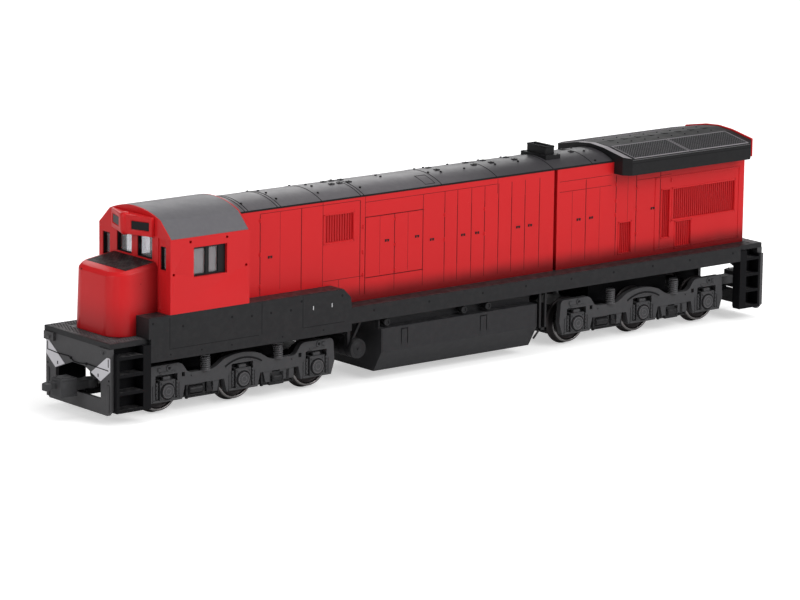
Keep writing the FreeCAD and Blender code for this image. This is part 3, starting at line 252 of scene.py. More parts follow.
def make_piece(name, bm, finishes, body="body", soften=0.0, smooth=38.0, pick=None):
    """Close a mesh, turn its faces outwards, give it its finishes and let it ride on a body."""
    bmesh.ops.recalc_face_normals(bm, faces=bm.faces)
    if pick:
        for face in bm.faces:
            face.material_index = pick(face.calc_center_median())
    bmesh.ops.scale(bm, vec=(MM, MM, MM), verts=bm.verts)
    mesh = bpy.data.meshes.new(name)
    bm.to_mesh(mesh)
    bm.free()
    mesh.shade_smooth()
    mesh.set_sharp_from_angle(angle=math.radians(smooth))
    piece = bpy.data.objects.new(name, mesh)
    bpy.context.scene.collection.objects.link(piece)
    for finish in finishes.split():
        mesh.materials.append(FINISHES[finish])
    if soften:
        edge = piece.modifiers.new("softened edges", "BEVEL")
        edge.width = soften * MM
        edge.segments = 2
        edge.limit_method = "ANGLE"
    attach(piece, body)
    return piece


def soften_node(node, name, finish, soften, body="body", pick=None, offset=0.0):
    """Replace a node by a merged copy with softened edges; picked edges are rounded first."""
    source = frame["nodes"][node]
    bm = bmesh.new()
    bm.from_mesh(source.data)
    bmesh.ops.transform(bm, matrix=Matrix.Scale(1 / MM, 4) @ source.matrix_world, verts=bm.verts)
    bmesh.ops.remove_doubles(bm, verts=bm.verts, dist=0.002)
    bmesh.ops.dissolve_limit(bm, angle_limit=math.radians(0.6), verts=bm.verts, edges=bm.edges)
    if pick:
        round_edges(bm, [edge for edge in bm.edges if pick(edge)], offset, 5)
    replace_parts(make_piece(name, bm, finish, body, soften=soften), node)


# Finishes

def feed(tree, socket, value):
    """Link a socket to another one, or set it to a number or colour."""
    if isinstance(value, bpy.types.NodeSocket):
        tree.links.new(value, socket)
    else:
        socket.default_value = value


def add_node(tree, kind, inputs=None, **settings):
    """A shader node with its settings and what its inputs get."""
    made = tree.nodes.new("ShaderNode" + kind)
    for key, value in settings.items():
        setattr(made, key, value)
    for key, value in (inputs or {}).items():
        feed(tree, made.inputs[key], value)
    return made


def maths(tree, operation, first, second):
    """A math node between two sockets or numbers."""
    return add_node(tree, "Math", {0: first, 1: second}, operation=operation).outputs[0]


def noise(tree, vector, scale, detail):
    """The height of a noise texture at a place."""
    return add_node(tree, "TexNoise", {"Detail": detail, "Scale": scale, "Vector": vector}).outputs["Fac"]


def swing(tree, vector, scale, detail, share):
    """Noise about zero, times a share."""
    return maths(tree, "MULTIPLY", maths(tree, "SUBTRACT", noise(tree, vector, scale, detail), 0.5), share)


def new_group(name, inputs, outputs):
    """A shader group with named sockets: its tree, what enters it, and the sockets that leave it."""
    tree = bpy.data.node_groups.new(name, "ShaderNodeTree")
    for way, labels in (("INPUT", inputs), ("OUTPUT", outputs)):
        for label in labels:
            kind = "NodeSocketColor" if label in ("Colour", "Darker Colour") else "NodeSocketFloat"
            made = tree.interface.new_socket(label, in_out=way, socket_type=kind)
            if way == "INPUT":
                made.default_value = inputs[label]
    return tree, tree.nodes.new("NodeGroupInput").outputs, tree.nodes.new("NodeGroupOutput").inputs


def build_plastic_group():
    """Moulded plastic: slight drift of tone, uneven shine, fine grain, and dust on what faces up."""
    tree, enter, leave = new_group(
        "Moulded Plastic",
        {"Colour": MID_GREY, "Tone": 0.08, "Shine": 0.4, "Grain Scale": 3600.0, "Dust": 0.0},
        ("Colour", "Roughness", "Height"))
    place = add_node(tree, "TexCoord").outputs["Object"]
    drift = maths(tree, "MULTIPLY", swing(tree, place, 42.0, 4.0, enter["Tone"]), 2.0)
    toned = add_node(tree, "VectorMath", {0: enter["Colour"], "Scale": maths(tree, "ADD", drift, 1.0)},
                     operation="SCALE")
    up = add_node(tree, "SeparateXYZ", {0: add_node(tree, "NewGeometry").outputs["Normal"]})
    speck = add_node(tree, "MapRange", {"From Min": 0.42, "From Max": 0.70,
                                        "Value": noise(tree, place, 700.0, 5.0)})
    lying = maths(tree, "MULTIPLY", speck.outputs["Result"], maths(tree, "MAXIMUM", up.outputs["Z"], 0.15))
    mix = add_node(tree, "Mix", {"Factor": maths(tree, "MULTIPLY", lying, enter["Dust"]),
                                 "A": toned.outputs[0], "B": (0.42, 0.40, 0.39, 1)}, data_type="RGBA")
    feed(tree, leave["Colour"], mix.outputs["Result"])
    uneven = swing(tree, place, 260.0, 3.0, 0.16)
    feed(tree, leave["Roughness"], maths(tree, "ADD", enter["Shine"], uneven))
    feed(tree, leave["Height"], noise(tree, place, enter["Grain Scale"], 2.0))
    return tree


def build_studs_group():
    """The crossed studs of a tread plate seen from above, as a height."""
    tree, enter, leave = new_group("Tread Studs", {"Pitch": 0.0008}, ("Height",))
    turned = add_node(tree, "Mapping", {"Rotation": (0, 0, math.radians(45)),
                                        "Vector": add_node(tree, "TexCoord").outputs["Object"]})
    cells = add_node(tree, "TexVoronoi", {"Randomness": 0.0, "Vector": turned.outputs[0],
                                          "Scale": maths(tree, "DIVIDE", 1.0, enter["Pitch"])},
                     voronoi_dimensions="2D", distance="CHEBYCHEV")
    feed(tree, leave["Height"], maths(tree, "SUBTRACT", 0.7, cells.outputs["Distance"]))
    return tree


def build_darkening_group():
    """Darkening towards a corner: darkens a colour below a height or, lengthwise, behind a place; on the red
    walls it is painted shade.
    """
    tree, enter, leave = new_group(
        "Corner Darkening", {"Colour": MID_GREY, "Foot": DECK, "Rise": 0.005, "Depth": 0.8, "Lengthwise": 0.0,
                         "Darker Colour": (*RED_PAINTED_SHADE, 1)}, ("Colour",))
    place = add_node(tree, "TexCoord").outputs["Object"]
    split = add_node(tree, "SeparateXYZ", {0: place}).outputs
    upright = maths(tree, "MULTIPLY", split["Z"], maths(tree, "SUBTRACT", 1.0, enter["Lengthwise"]))
    along = maths(tree, "MULTIPLY", split["X"], enter["Lengthwise"])
    above = maths(tree, "SUBTRACT", maths(tree, "ADD", upright, along), enter["Foot"])
    ragged = maths(tree, "ADD", maths(tree, "DIVIDE", above, enter["Rise"]),
                   swing(tree, place, 160.0, 4.0, 0.16))
    fade = add_node(tree, "MapRange", {"To Min": 1.0, "To Max": 0.0, "Value": ragged},
                    interpolation_type="SMOOTHERSTEP")
    mix = add_node(tree, "Mix", {"Factor": maths(tree, "MULTIPLY", fade.outputs["Result"], enter["Depth"]),
                                 "A": enter["Colour"], "B": enter["Darker Colour"]}, data_type="RGBA")
    feed(tree, leave["Colour"], mix.outputs["Result"])
    return tree


def new_material(name, values):
    """A material, its tree and its shader's inputs, set to what is the same all over."""
    material = bpy.data.materials.new(name)
    material.use_nodes = True
    shader = material.node_tree.nodes["Principled BSDF"].inputs
    for label, value in values.items():
        shader[label].default_value = value
    return material, material.node_tree, shader


def add_bump(tree, shader, height, strength, distance):
    bump = add_node(tree, "Bump", {"Strength": strength, "Distance": distance, "Height": height})
    tree.links.new(bump.outputs["Normal"], shader["Normal"])


def plastic(name, group, colour, shine, tone=0.08, dust=0.0, coat=0.0, metallic=0.0, grain=None, gloss=0.22,
            studs=None):
    """A moulded plastic or painted metal finish, with fine grain or the studs of a tread plate."""
    material, tree, shader = new_material(name, {
        "Metallic": metallic, "Specular IOR Level": gloss, "Coat Weight": coat, "Coat Roughness": 0.25})
    skin = add_node(tree, "Group", {"Colour": (*colour, 1), "Tone": tone, "Shine": shine, "Dust": dust},
                    node_tree=group).outputs
    tree.links.new(skin["Colour"], shader["Base Color"])
    tree.links.new(skin["Roughness"], shader["Roughness"])
    if studs:
        rows = add_node(tree, "Group", {"Pitch": sizes().tread_pitch}, node_tree=studs)
        add_bump(tree, shader, rows.outputs["Height"], 0.7, 0.0002)
    else:
        add_bump(tree, shader, skin["Height"], colours().grain if grain is None else grain, 0.00003)
    return material


def footed(material, darkening, rise, depth, foot=DECK, lengthwise=0.0, tint=RED_PAINTED_SHADE):
    """The same finish, darker along the foot of its wall or along its rear edge; on the red walls this is
    painted shade.
    """
    tree = material.node_tree
    base = tree.nodes["Principled BSDF"].inputs["Base Color"]
    made = add_node(tree, "Group", {"Colour": base.links[0].from_socket, "Rise": rise, "Depth": depth,
                                    "Foot": foot, "Lengthwise": lengthwise, "Darker Colour": (*tint, 1)},
                    node_tree=darkening)
    tree.links.new(made.outputs["Colour"], base)
    return material


def glass_finish():
    """Clear moulded window material with faint ripples."""
    material, tree, shader = new_material("clear window", {
        "Base Color": (0.80, 0.80, 0.83, 1), "Transmission Weight": 0.84, "Roughness": 0.03, "IOR": 1.46})
    place = add_node(tree, "TexCoord").outputs["Object"]
    add_bump(tree, shader, noise(tree, place, 240.0, 1.0), 0.12, 0.00005)
    return material


class LOCOMOTIVE_OT_finishes(bpy.types.Operator):
    """Make the finishes and put them on the moulded parts of the frame"""

    bl_idname = "locomotive.finishes"
    bl_label = "Finishes"

    def execute(self, context):
        paint = colours()
        skin, studs, darkening = build_plastic_group(), build_studs_group(), build_darkening_group()
        red = tuple(paint.body_red)
        black = tuple(paint.frame_black)
        FINISHES.update(
            red=plastic("body red", skin, red, 0.36, tone=0.05, coat=0.05),
            # Hood red with painted shade: darker towards the foot of the hoods' sides, where they meet the
            # deck.
            hood_red=footed(plastic("hood red", skin, red, 0.38, tone=0.05), darkening, 0.0064, 0.88),
            # Nose red with painted shade: darker at the nose's foot, and darker still towards the cab front
            # in the corner where nose and cab meet.
            nose_red=footed(footed(plastic("nose red", skin, red, 0.34, tone=0.05, coat=0.08),
                                   darkening, 0.012, 0.35), darkening, 0.0125, 0.75, foot=0.0983, lengthwise=1.0),
            seam_red=plastic("seam red", skin, (0.10, 0.003, 0.004), 0.6),
            # The louvres' beds are a darker red as painted shade in their recesses; the panel lines share it
            # as dark joints.
            louvre_red=plastic("louvre red", skin, (0.20, 0.004, 0.005), 0.5),
            # The blades' darker copy of the body red is painted shade inside the louvres.
            louvre_blade=plastic("louvre blade red", skin, tuple(v * 0.8 for v in red), 0.42),
            cab_grey=plastic("cab roof grey", skin, paint.cab_grey, 0.42, dust=0.05, gloss=0.4),
            # The hood roof darkens towards its rear.
            roof_grey=footed(plastic("hood roof grey", skin, paint.roof_grey, 0.36, dust=0.06, gloss=0.4),
                             darkening, 0.055, 0.72, foot=-0.038, lengthwise=1.0, tint=(0.022, 0.021, 0.024)),
            roof_black=plastic("radiator roof black", skin, (0.010, 0.010, 0.011), 0.45, dust=0.03,
                               gloss=0.2),
            lip=plastic("radiator lip grey", skin, (0.24, 0.225, 0.24), 0.4, gloss=0.4),
            trim=plastic("radiator trim grey", skin, (0.11, 0.108, 0.112), 0.4, gloss=0.4),
            # Near-black, darker than the underframe: painted shade on the steps in their stairwells; the
            # bogies' gear housings use it too.
            step_black=plastic("step black", skin, (0.005, 0.005, 0.006), 0.55, gloss=0.1),
            ring=plastic("journal ring", skin, (0.085, 0.083, 0.087), 0.4),
            # A pale, near-white colour that paints glints on the skirts' small lugs.
            bright=plastic("bright lug", skin, (0.55, 0.55, 0.57), 0.3, gloss=0.5),
            black=plastic("underframe black", skin, black, 0.42, dust=0.07),
            bogie=plastic("bogie grey", skin, paint.bogie_black, 0.52, dust=0.10),
            tank=plastic("tank black", skin, tuple(1.5 * v for v in black), 0.42, dust=0.07),
            # Grey, paler than the underframe black: painted reflection of the pale floor on the end plates.
            pilot=plastic("end plate grey", skin, (0.062, 0.061, 0.064), 0.45, dust=0.07),
            dark=plastic("dark recess", skin, (0.004, 0.004, 0.005), 0.7),
            latch=plastic("latch black", skin, (0.010, 0.009, 0.010), 0.45),
            board=plastic("board black", skin, (0.006, 0.006, 0.007), 0.35),
            white=plastic("stripe white", skin, paint.stripe_white, 0.45, tone=0.12),
            spring=plastic("spring grey", skin, (0.075, 0.074, 0.078), 0.35),
            rim=plastic("bright rim", skin, paint.rim_steel, 0.24, metallic=1.0, grain=0.1),
            wheel=plastic("blackened wheel", skin, (0.035, 0.031, 0.032), 0.38, metallic=0.6),
            block=plastic("cast weight", skin, (0.08, 0.08, 0.085), 0.5, metallic=0.8),
            tread=plastic("tread plate", skin, black, 0.5, dust=0.12, studs=studs),
            mesh=plastic("radiator mesh", skin, (0.048, 0.047, 0.051), 0.42, tone=0.12, dust=0.04, gloss=0.3),
            glass=glass_finish(),
        )
        by_slot = {"red_plastic": "red", "grey_plastic": "cab_grey", "roof_plastic": "roof_grey",
                   "black_plastic": "black", "clear_plastic": "glass", "wheel_metal": "wheel",
                   "steel": "spring", "dark_metal": "block"}
        by_node = {"radiator_roof": "roof_black", "exhaust_stack": "roof_black", "nose_tread_panel": "tread",
                   "cab_window_frames": "latch", "engine_hood": "hood_red", "radiator_hood": "hood_red",
                   "fuel_tank": "tank"}
        for end, _ in ENDS:
            by_node.update({end + "_steps": "step_black", end + "_pilot": "pilot",
                            end + "_bogie_gear_housing": "step_black"})
        slots = {row["node"]: row["material_slot"] for row in frame["record"]["subparts"]}
        for name, obj in frame["nodes"].items():
            finish = by_node.get(name) or by_slot[slots[name]]
            if "bogie" in name and finish == "black" or name.endswith("coupler"):
                finish = "bogie"
            if not obj.material_slots:
                obj.data.materials.append(None)
            for holder in obj.material_slots:
                holder.material = FINISHES[finish]
        return {"FINISHED"}


# Running gear

class LOCOMOTIVE_OT_wheels(bpy.types.Operator):
    """Turn the wheels with bright rims, dished webs and hubs"""

    bl_idname = "locomotive.wheels"
    bl_label = "Wheels"

    def execute(self, context):
        half = [(7.2, 0.0), (7.2, 6.4), (7.28, 6.7), (7.5, 6.8), (7.78, 6.7), (7.98, 6.35), (8.2, 6.17),
                (9.7, 6.1), (9.93, 5.98), (10.0, 5.8), (10.0, 5.5), (9.9, 5.36), (9.4, 5.2), (9.28, 4.95),
                (9.2, 2.7), (9.35, 2.2), (9.86, 2.0), (9.95, 1.85), (9.95, 1.0), (9.7, 0.85), (9.7, 0.0)]
        for end, _ in ENDS:
            for number in (1, 2, 3):
                node = f"{end}_wheelset_{number}"
                middle = middle_of(node)
                bm = bmesh.new()
                for _, side in SIDES:
                    add_turned(bm, middle, (0, side, 0), half, 72)
                add_rod(bm, middle - Vector((0, 7.3, 0)), middle + Vector((0, 7.3, 0)), 1.2, sides=32)

                def pick(centre, at=middle):
                    reach = math.hypot(centre.x - at.x, centre.z - at.z)
                    return 0 if reach > 5.42 and abs(centre.y) > 9.6 else 1
                wheel = make_piece(f"{end}_wheels_{number}", bm, "rim wheel", node, pick=pick)
                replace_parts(wheel, node)
        return {"FINISHED"}


class LOCOMOTIVE_OT_springs(bpy.types.Operator):
    """Wind the coil springs of both bogies, with a seat at each end"""

    bl_idname = "locomotive.springs"
    bl_label = "Coil springs"

    def execute(self, context):
        wire = sizes().spring_wire / MM
        turns = sizes().spring_turns
        for end, _ in ENDS:
            node = end + "_bogie_springs"
            low, high = corners(node)
            middle = middle_of(end + "_bogie_left_side_frame").x
            bm = bmesh.new()
            for _, side in SIDES:
                for way in (1, -1):
                    x, y = middle + way * 12.2, side * 12.85
                    self.wind(bm, x, y, low.z + 0.45, high.z - 0.35, 1.42 - wire, wire, turns)
                    add_turned(bm, (x, y, low.z), (0, 0, 1),
                               [(0, 0), (0, 1.42), (0.3, 1.42), (0.42, 1.2), (0.42, 0.5), (0.55, 0.45),
                                (4.0, 0.45), (4.0, 1.3), (4.3, 1.3), (4.3, 0)], 24)
            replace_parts(make_piece(end + "_bogie_coil_springs", bm, "spring", end + "_bogie"), node)
        return {"FINISHED"}

    def wind(self, bm, x, y, low, high, radius, wire, turns):
        """One coil of round wire, its two ends closed."""
        stand = Matrix.Translation((x + radius, y, low)) @ Matrix.Rotation(math.pi / 2, 4, "X")
        start = bmesh.ops.create_circle(bm, cap_ends=False, radius=wire, segments=8, matrix=stand)["verts"]
        edges = edges_of(start)
        steps = 18 * turns
        spun = bmesh.ops.spin(bm, geom=start + edges, cent=(x, y, low), axis=(0, 0, 1),
                              dvec=(0, 0, (high - low) / steps), angle=2 * math.pi * turns, steps=steps)
        last = [item for item in spun["geom_last"] if isinstance(item, bmesh.types.BMEdge)]
        bmesh.ops.edgeloop_fill(bm, edges=edges)
        bmesh.ops.edgeloop_fill(bm, edges=last)


class LOCOMOTIVE_OT_side_frames(bpy.types.Operator):
    """Journal boxes, horn guides, bolts, ribs and brake gear on the bogies' side frames"""

    bl_idname = "locomotive.side_frames"
    bl_label = "Side frame details"

    def execute(self, context):
        bolt = sizes().bolt / MM
        for end, _ in ENDS:
            bogie = end + "_bogie"
            middle = middle_of(bogie + "_left_side_frame").x
            axles = [middle_of(f"{end}_wheelset_{number}").x for number in (1, 2, 3)]
            for side_name, side in SIDES:
                name = f"{bogie}_{side_name}_"
                soften_node(name + "side_frame", name + "side_frame_casting", "bogie", 0.10, bogie,
                            pick=self.is_outline_corner, offset=1.1)
                castings, gear, rings, dark = new_meshes(4)
                for x in axles:
                    self.journal(castings, x, side, bolt)
                self.beam(castings, middle, side, bolt)
                for way in (-1, 1):
                    self.brake(gear, middle, way, side, bolt)
                for x in axles:
                    for inner, outer in ((0.62, 0.98), (1.55, 1.9)):
                        edge = (outer - inner) / 4
                        add_turned(rings, (x, 0, AXLE), (0, side, 0),
                                   [(CAP, inner), (CAP + 0.5, inner), (CAP + 0.6, inner + edge),
                                    (CAP + 0.6, outer - edge), (CAP + 0.5, outer), (CAP, outer)], 28)
                # Dark faces in the castings' slots, as painted shade.
                self.hollows(dark, middle, axles, side)
                make_piece(name + "castings", castings, "bogie", bogie, soften=0.05)
                make_piece(name + "brake_gear", gear, "black", bogie, soften=0.05)
                make_piece(name + "cap_rings", rings, "ring", bogie)
                make_piece(name + "hollows", dark, "dark", bogie)
        return {"FINISHED"}

    def is_outline_corner(self, edge):
        """A bend of the frame's upper outline, between its ends and its crown."""
        a, b = (vert.co for vert in edge.verts)
        across = abs(a.y - b.y) > 1.5 and abs(a.x - b.x) < 0.01
        return across and a.z > 10.6 and len(edge.link_faces) == 2 and edge.calc_face_angle(0) > 0.5 \
            and min(abs(a.z - level) for level in (10.8, 13.95, 12.9)) < 0.05

    def journal(self, bm, x, side, bolt):
        """The ledges, guides and tie bar of one journal box, with their bolts."""
        add_blocks(bm, x, side, [(-2.3, 2.3, CAP, CAP + 0.22, low, low + 0.85, 0.08) for low in (4.75, 8.7)])
        for across in (-1.95, 1.95):
            for up in (5.1, 9.1):
                add_bolt(bm, (x + across, side * (CAP + 0.22), up), (0, side, 0), bolt)
        for way in (-1, 1):
            add_blocks(bm, x, side, ((3.05, 3.65, 12.9, 13.42, 4.9, 9.3, 0.08),
                                     (4.08, 4.52, 13.0, 13.3, 4.6, 8.6, 0.08)), way)
            for up in (5.4, 6.5, 7.6, 8.7):
                add_bolt(bm, (x + way * 3.35, side * 13.42, up), (0, side, 0), bolt)
        add_blocks(bm, x, side, ((-4.7, 4.7, 12.5, 13.4, 3.95, 4.5, 0.1),
                                 (-1.2, 1.2, 12.0, 13.25, 9.7, 10.7, 0.12)))

    def beam(self, bm, middle, side, bolt):
        """The brow, ribs and bosses of the long beam."""
        out = (0, side, 0)
        self.brow(bm, middle, side, 11.25, 0.42)
        for way in (-1, 1):
            x = middle + way * AXLE_PITCH
            add_blocks(bm, x, side, ((-3.0, 2.4, 12.9, 13.32, 11.75, 12.1, 0.08),))
            add_turned(bm, (x - 0.8, 0, 12.9), out,
                       [(12.9, 0.35), (12.9, 0.85), (13.35, 0.85), (13.35, 0.5), (13.1, 0.35)], 18)
            add_blocks(bm, x, side, ((1.9, 2.9, 12.9, 13.4, 12.3, 13.3, 0.1),), way)
            add_bolt(bm, (middle + way * 16.9, side * 13.1, 9.9), out, bolt)

    def brake(self, bm, middle, way, side, bolt):
        """Brake cylinder, lever and hangers between two axles."""
        near, far = side * 11.5, side * 12.7
        out = Vector((0, side, 0))
        boxes = ((12.1, 18.4, 4.3, 7.5), (9.2, 11.6, 4.5, 7.5))
        if way < 0:
            boxes = ((9.4, 14.5, 3.4, 7.2), (14.9, 16.4, 4.3, 7.5))
        for start, stop, low, high in boxes:
            add_blocks(bm, middle, side, ((start, stop, 11.5, 12.7, low, high, 0.25),), way)
            for x in (start + 0.5, stop - 0.5):
                add_bolt(bm, (middle + way * x, far, (low + high) / 2), out, bolt)
        start, stop, low, high = boxes[0]
        reach = stop - start - 1.2
        add_turned(bm, (middle + way * (start + 0.6), side * 12.3, (low + high) / 2), (way, 0, 0),
                   [(0, 0), (0, 1.0), (0.3, 1.25), (0.6, 1.0), (reach - 0.6, 1.0), (reach - 0.3, 1.25),
                    (reach, 0.8), (reach, 0)], 20)
        for x in (7.4, 17.7):
            add_plate(bm, [(middle + way * (x + shift), near, z) for shift, z in
                           ((-0.5, 8.2), (0.5, 8.2), (0.3, 3.4), (-0.3, 3.4))], out * 0.7)
            add_bolt(bm, (middle + way * x, near + side * 0.7, 3.9), out, bolt * 1.2)
        add_rod(bm, (middle + way * 7.4, side * 11.9, 3.8), (middle + way * 17.7, side * 11.9, 3.8), 0.28,
                sides=10)

    def brow(self, bm, middle, side, radius, high):
        """A bar that bows over the middle axle's window."""
        half = math.radians(31)
        add_arc_bar(bm, (middle - 0.4, side * 13.05, 0.6), (0, side, 0), radius, half - side * math.pi / 2,
                    -2 * half, 0.35, high, 20)

    def hollows(self, bm, middle, axles, side):
        """Dark faces of the slots in the castings, round the journals and over the middle axle: painted shade
        in the castings' gaps.
        """
        self.brow(bm, middle, side, 11.7, 0.46)
        for way in (-1, 1):
            add_blocks(bm, middle + way * AXLE_PITCH, side, ((1.6, 3.1, 13.03, 13.15, 10.95, 11.4),
                                                             (-1.4, -0.3, 13.03, 13.15, 12.45, 13.3)))
        for x in axles:
            add_blocks(bm, x, side, ((-3.6, 3.6, 11.42, 11.55, 4.7, 11.1),))
            for profile in ([(13.3, 0), (13.3, 1.7), (13.9, 1.6), (13.9, 0)],
                            [(13.4, 1.98), (13.76, 1.98), (13.76, 2.34), (13.4, 2.34)]):
                add_turned(bm, (x, 0, AXLE), (0, side, 0), profile, 28)
            add_blocks(bm, x, side, (
                (-2.34, -3.04, 13.1, 13.16, 4.9, 9.6), (2.34, 3.04, 13.1, 13.16, 4.9, 9.6),
                (-2.3, 2.3, 13.12, 13.2, 9.62, 10.0)))


class LOCOMOTIVE_OT_couplers(bpy.types.Operator):
    """Cover plates, ribs and pins on the couplers"""

    bl_idname = "locomotive.couplers"
    bl_label = "Coupler details"

    def execute(self, context):
        for end, way in ENDS:
            node = end + "_coupler"
            soften_node(node, node + "_casting", "bogie", 0.16, node)
            box = end_face(node, way) - way * 9.0
            top = corners(node)[1].z
            bm = bmesh.new()
            add_blocks(bm, box, 1, ((0.5, 4.8, -1.9, 1.9, top - 0.02, top + 0.18, 0.06),), way)
            for side in (-1, 1):
                add_blocks(bm, box, side, ((0.4, 4.9, 2.28, 2.42, 7.0, 10.6, 0.05),), way)
                for along in (1.1, 4.1):
                    add_bolt(bm, (box + way * along, side * 1.4, top + 0.18), (0, 0, 1), 0.26)
            add_turned(bm, (box + way * 6.6, -0.9 * way, 10.2), (0, 0, 1),
                       [(0, 0), (0, 0.7), (0.25, 0.7), (0.4, 0.5), (0.4, 0)], 16)
            make_piece(node + "_cover", bm, "bogie", node)
        return {"FINISHED"}


# Underframe

class LOCOMOTIVE_OT_pilots(bpy.types.Operator):
    """White bands, slots and hose relief on the end plates"""

    bl_idname = "locomotive.pilots"
    bl_label = "End plates"

    def execute(self, context):
        band = [(13.8, 18.8), (14.65, 18.2), (14.65, 14.75), (10.35, 11.55), (6.0, 13.25)]
        hose = [(-14.0, 15.9), (-8.9, 15.6), (-4.3, 15.75), (-3.1, 15.4), (-2.0, 14.75), (0.9, 14.7),
                (4.0, 15.2), (7.0, 15.1), (14.0, 15.0)]
        for end, way in ENDS:
            face = end_face(end + "_pilot", way) - way * 0.8
            bands, slots, relief = new_meshes(3)
            for _, side in SIDES:
                turn = side * way
                add_plate(bands, [(face, turn * y, z) for y, z in band], (way * 0.12, 0, 0))
                add_blocks(slots, face, turn, ((0, 0.16, 13.75, 14.1, 15.9, 18.1),
                                               (0, 0.16, 9.05, 9.55, 12.5, 13.5, 0.15)), way)
                add_rod(slots, (face - way * 0.1, turn * 14.0, 12.2), (face + way * 0.03, turn * 14.0, 12.2),
                        0.3, sides=12)
                add_blocks(relief, face, turn, ((-0.05, 0.3, 13.2, 14.3, 3.2, 11.0, 0.1),), way)
                add_rod(relief, (face + way * 0.1, turn * 12.3, 20.0), (face + way * 1.2, turn * 12.3, 19.6),
                        0.55, sides=14, round_off=0.1)
            for start, stop in zip(hose, hose[1:]):
                add_rod(slots, (face + way * 0.16, way * start[0], start[1]),
                        (face + way * 0.16, way * stop[0], stop[1]), 0.13, sides=10)
            for y, z in ((-3.1, 15.4), (4.0, 15.1)):
                add_turned(slots, (face + way * 0.1, way * y, z), (way, 0, 0),
                           [(-0.2, 0), (-0.2, 0.36), (0.25, 0.36), (0.35, 0.2), (0.35, 0)], 12)
            make_piece(end + "_pilot_bands", bands, "white")
            make_piece(end + "_pilot_slots", slots, "dark")
            make_piece(end + "_pilot_relief", relief, "pilot")
        return {"FINISHED"}


class LOCOMOTIVE_OT_decks(bpy.types.Operator):
    """Studded tread plates on both end decks, and treads on the steps"""

    bl_idname = "locomotive.decks"
    bl_label = "Tread plates"

    def execute(self, context):
        pitch = sizes().tread_pitch / MM
        low, high = corners("underframe")
        top = high.z
        nose_front = end_face("nose", 1) + 0.2
        platform_front = end_face("cab_platform", 1) + 0.3
        front, rear = new_meshes(2)
        for bm, near, far in ((front, (nose_front, -14.6), (high.x - 0.3, 14.6)),
                              (front, (platform_front, 10.7), (nose_front, 14.6)),
                              (front, (platform_front, -14.6), (nose_front, -10.7)),
                              (rear, (low.x + 0.3, -14.6), (end_face("radiator_hood", -1) - 0.2, 14.6))):
            add_block(bm, (*near, top - 0.02), (*far, top + 0.08), 0.04)
            self.studs(bm, near, far, top + 0.08, pitch)
        make_piece("front_deck_tread", front, "bogie", smooth=20)
        make_piece("rear_deck_tread", rear, "trim", smooth=20)
        for end, _ in ENDS:
            low, high = corners(end + "_steps")
            bm = bmesh.new()
            for _, side in SIDES:
                for number in range(4):
                    level = 4.4 + number * 4.75
                    add_block(bm, (low.x + 2.6, side * 12.4, level - 0.02),
                              (high.x - 0.9, side * 16.25, level + 0.06))
            make_piece(end + "_step_treads", bm, "tread")
        return {"FINISHED"}

    def studs(self, bm, low, high, level, pitch):
        """Rows of small four-sided studs over a rectangle."""
        for i in range(int((high[0] - low[0]) / pitch)):
            for k in range(int((high[1] - low[1]) / pitch)):
                x = low[0] + (i + 0.3 + k % 2 / 2) * pitch
                y = low[1] + (k + 0.5) * pitch
                if x + pitch * 0.35 < high[0]:
                    add_rod(bm, (x, y, level - 0.02), (x, y, level + 0.12), pitch * 0.36, pitch * 0.16, 4)


class LOCOMOTIVE_OT_skirts(bpy.types.Operator):
    """Rivets, panel lines and lips on the skirts and side sills"""

    bl_idname = "locomotive.skirts"
    bl_label = "Skirts and sills"

    def execute(self, context):
        radius = sizes().rivet / MM
        rivets = [(x, z, radius) for x, z in ((104.0, 26.4), (94.2, 24.6), (78.0, 25.0), (71.4, 24.4),
                                              (64.9, 24.4), (58.2, 24.3), (54.6, 26.3), (40.6, 26.2))]
        rivets += [(x, 20.7, radius) for x in (29.5, 10.0, -9.3, -25.1, -42.0, -58.0, -73.0, -87.4, -104.4)]
        rivets += [(x, 17.4, radius * 0.7) for x in (98.2, 88.0, 78.0, 61.0, 47.0)]
        for name, side in SIDES:
            bm, lugs, lines, lip = new_meshes(4)
            for x, z, wide in rivets:
                add_bolt(bm, (x, side * SKIRT, z), (0, side, 0), wide, 0.02, 12)
            make_piece("skirt_rivets_" + name, bm, "dark")
            # Lift lugs whose pale finish is a painted highlight.
            add_blocks(lugs, 0, side, [(x - 0.14, x + 0.14, SKIRT - 0.2, SKIRT + 0.02, 23.4, 24.5, 0.04)
                                       for x in (50.5, 44.1)])
            make_piece("skirt_lugs_" + name, lugs, "bright")
            add_blocks(lines, 0, side, [(x - 0.08, x + 0.08, SKIRT - 0.1, SKIRT + 0.02, 18.9, head)
                                        for x, head in ((68.0, 27.6), (54.1, 27.6), (98.5, 27.3))])
            add_blocks(lines, 0, side, [(start, stop, SKIRT - 0.1, SKIRT + 0.02, 18.8, 18.95)
                                        for start, stop in ((39.7, 53.9), (69.0, 98.5))])
            make_piece("skirt_lines_" + name, lines, "dark")
            add_blocks(lip, 0, side, [(start, stop, SKIRT - 0.4, SKIRT - 0.05, foot, foot + 0.16, 0.05)
                                      for start, stop, foot in ((40.6, 105.1, 27.86), (-107.0, 36.9, 22.26))])
            make_piece("skirt_lips_" + name, lip, "black")
        return {"FINISHED"}


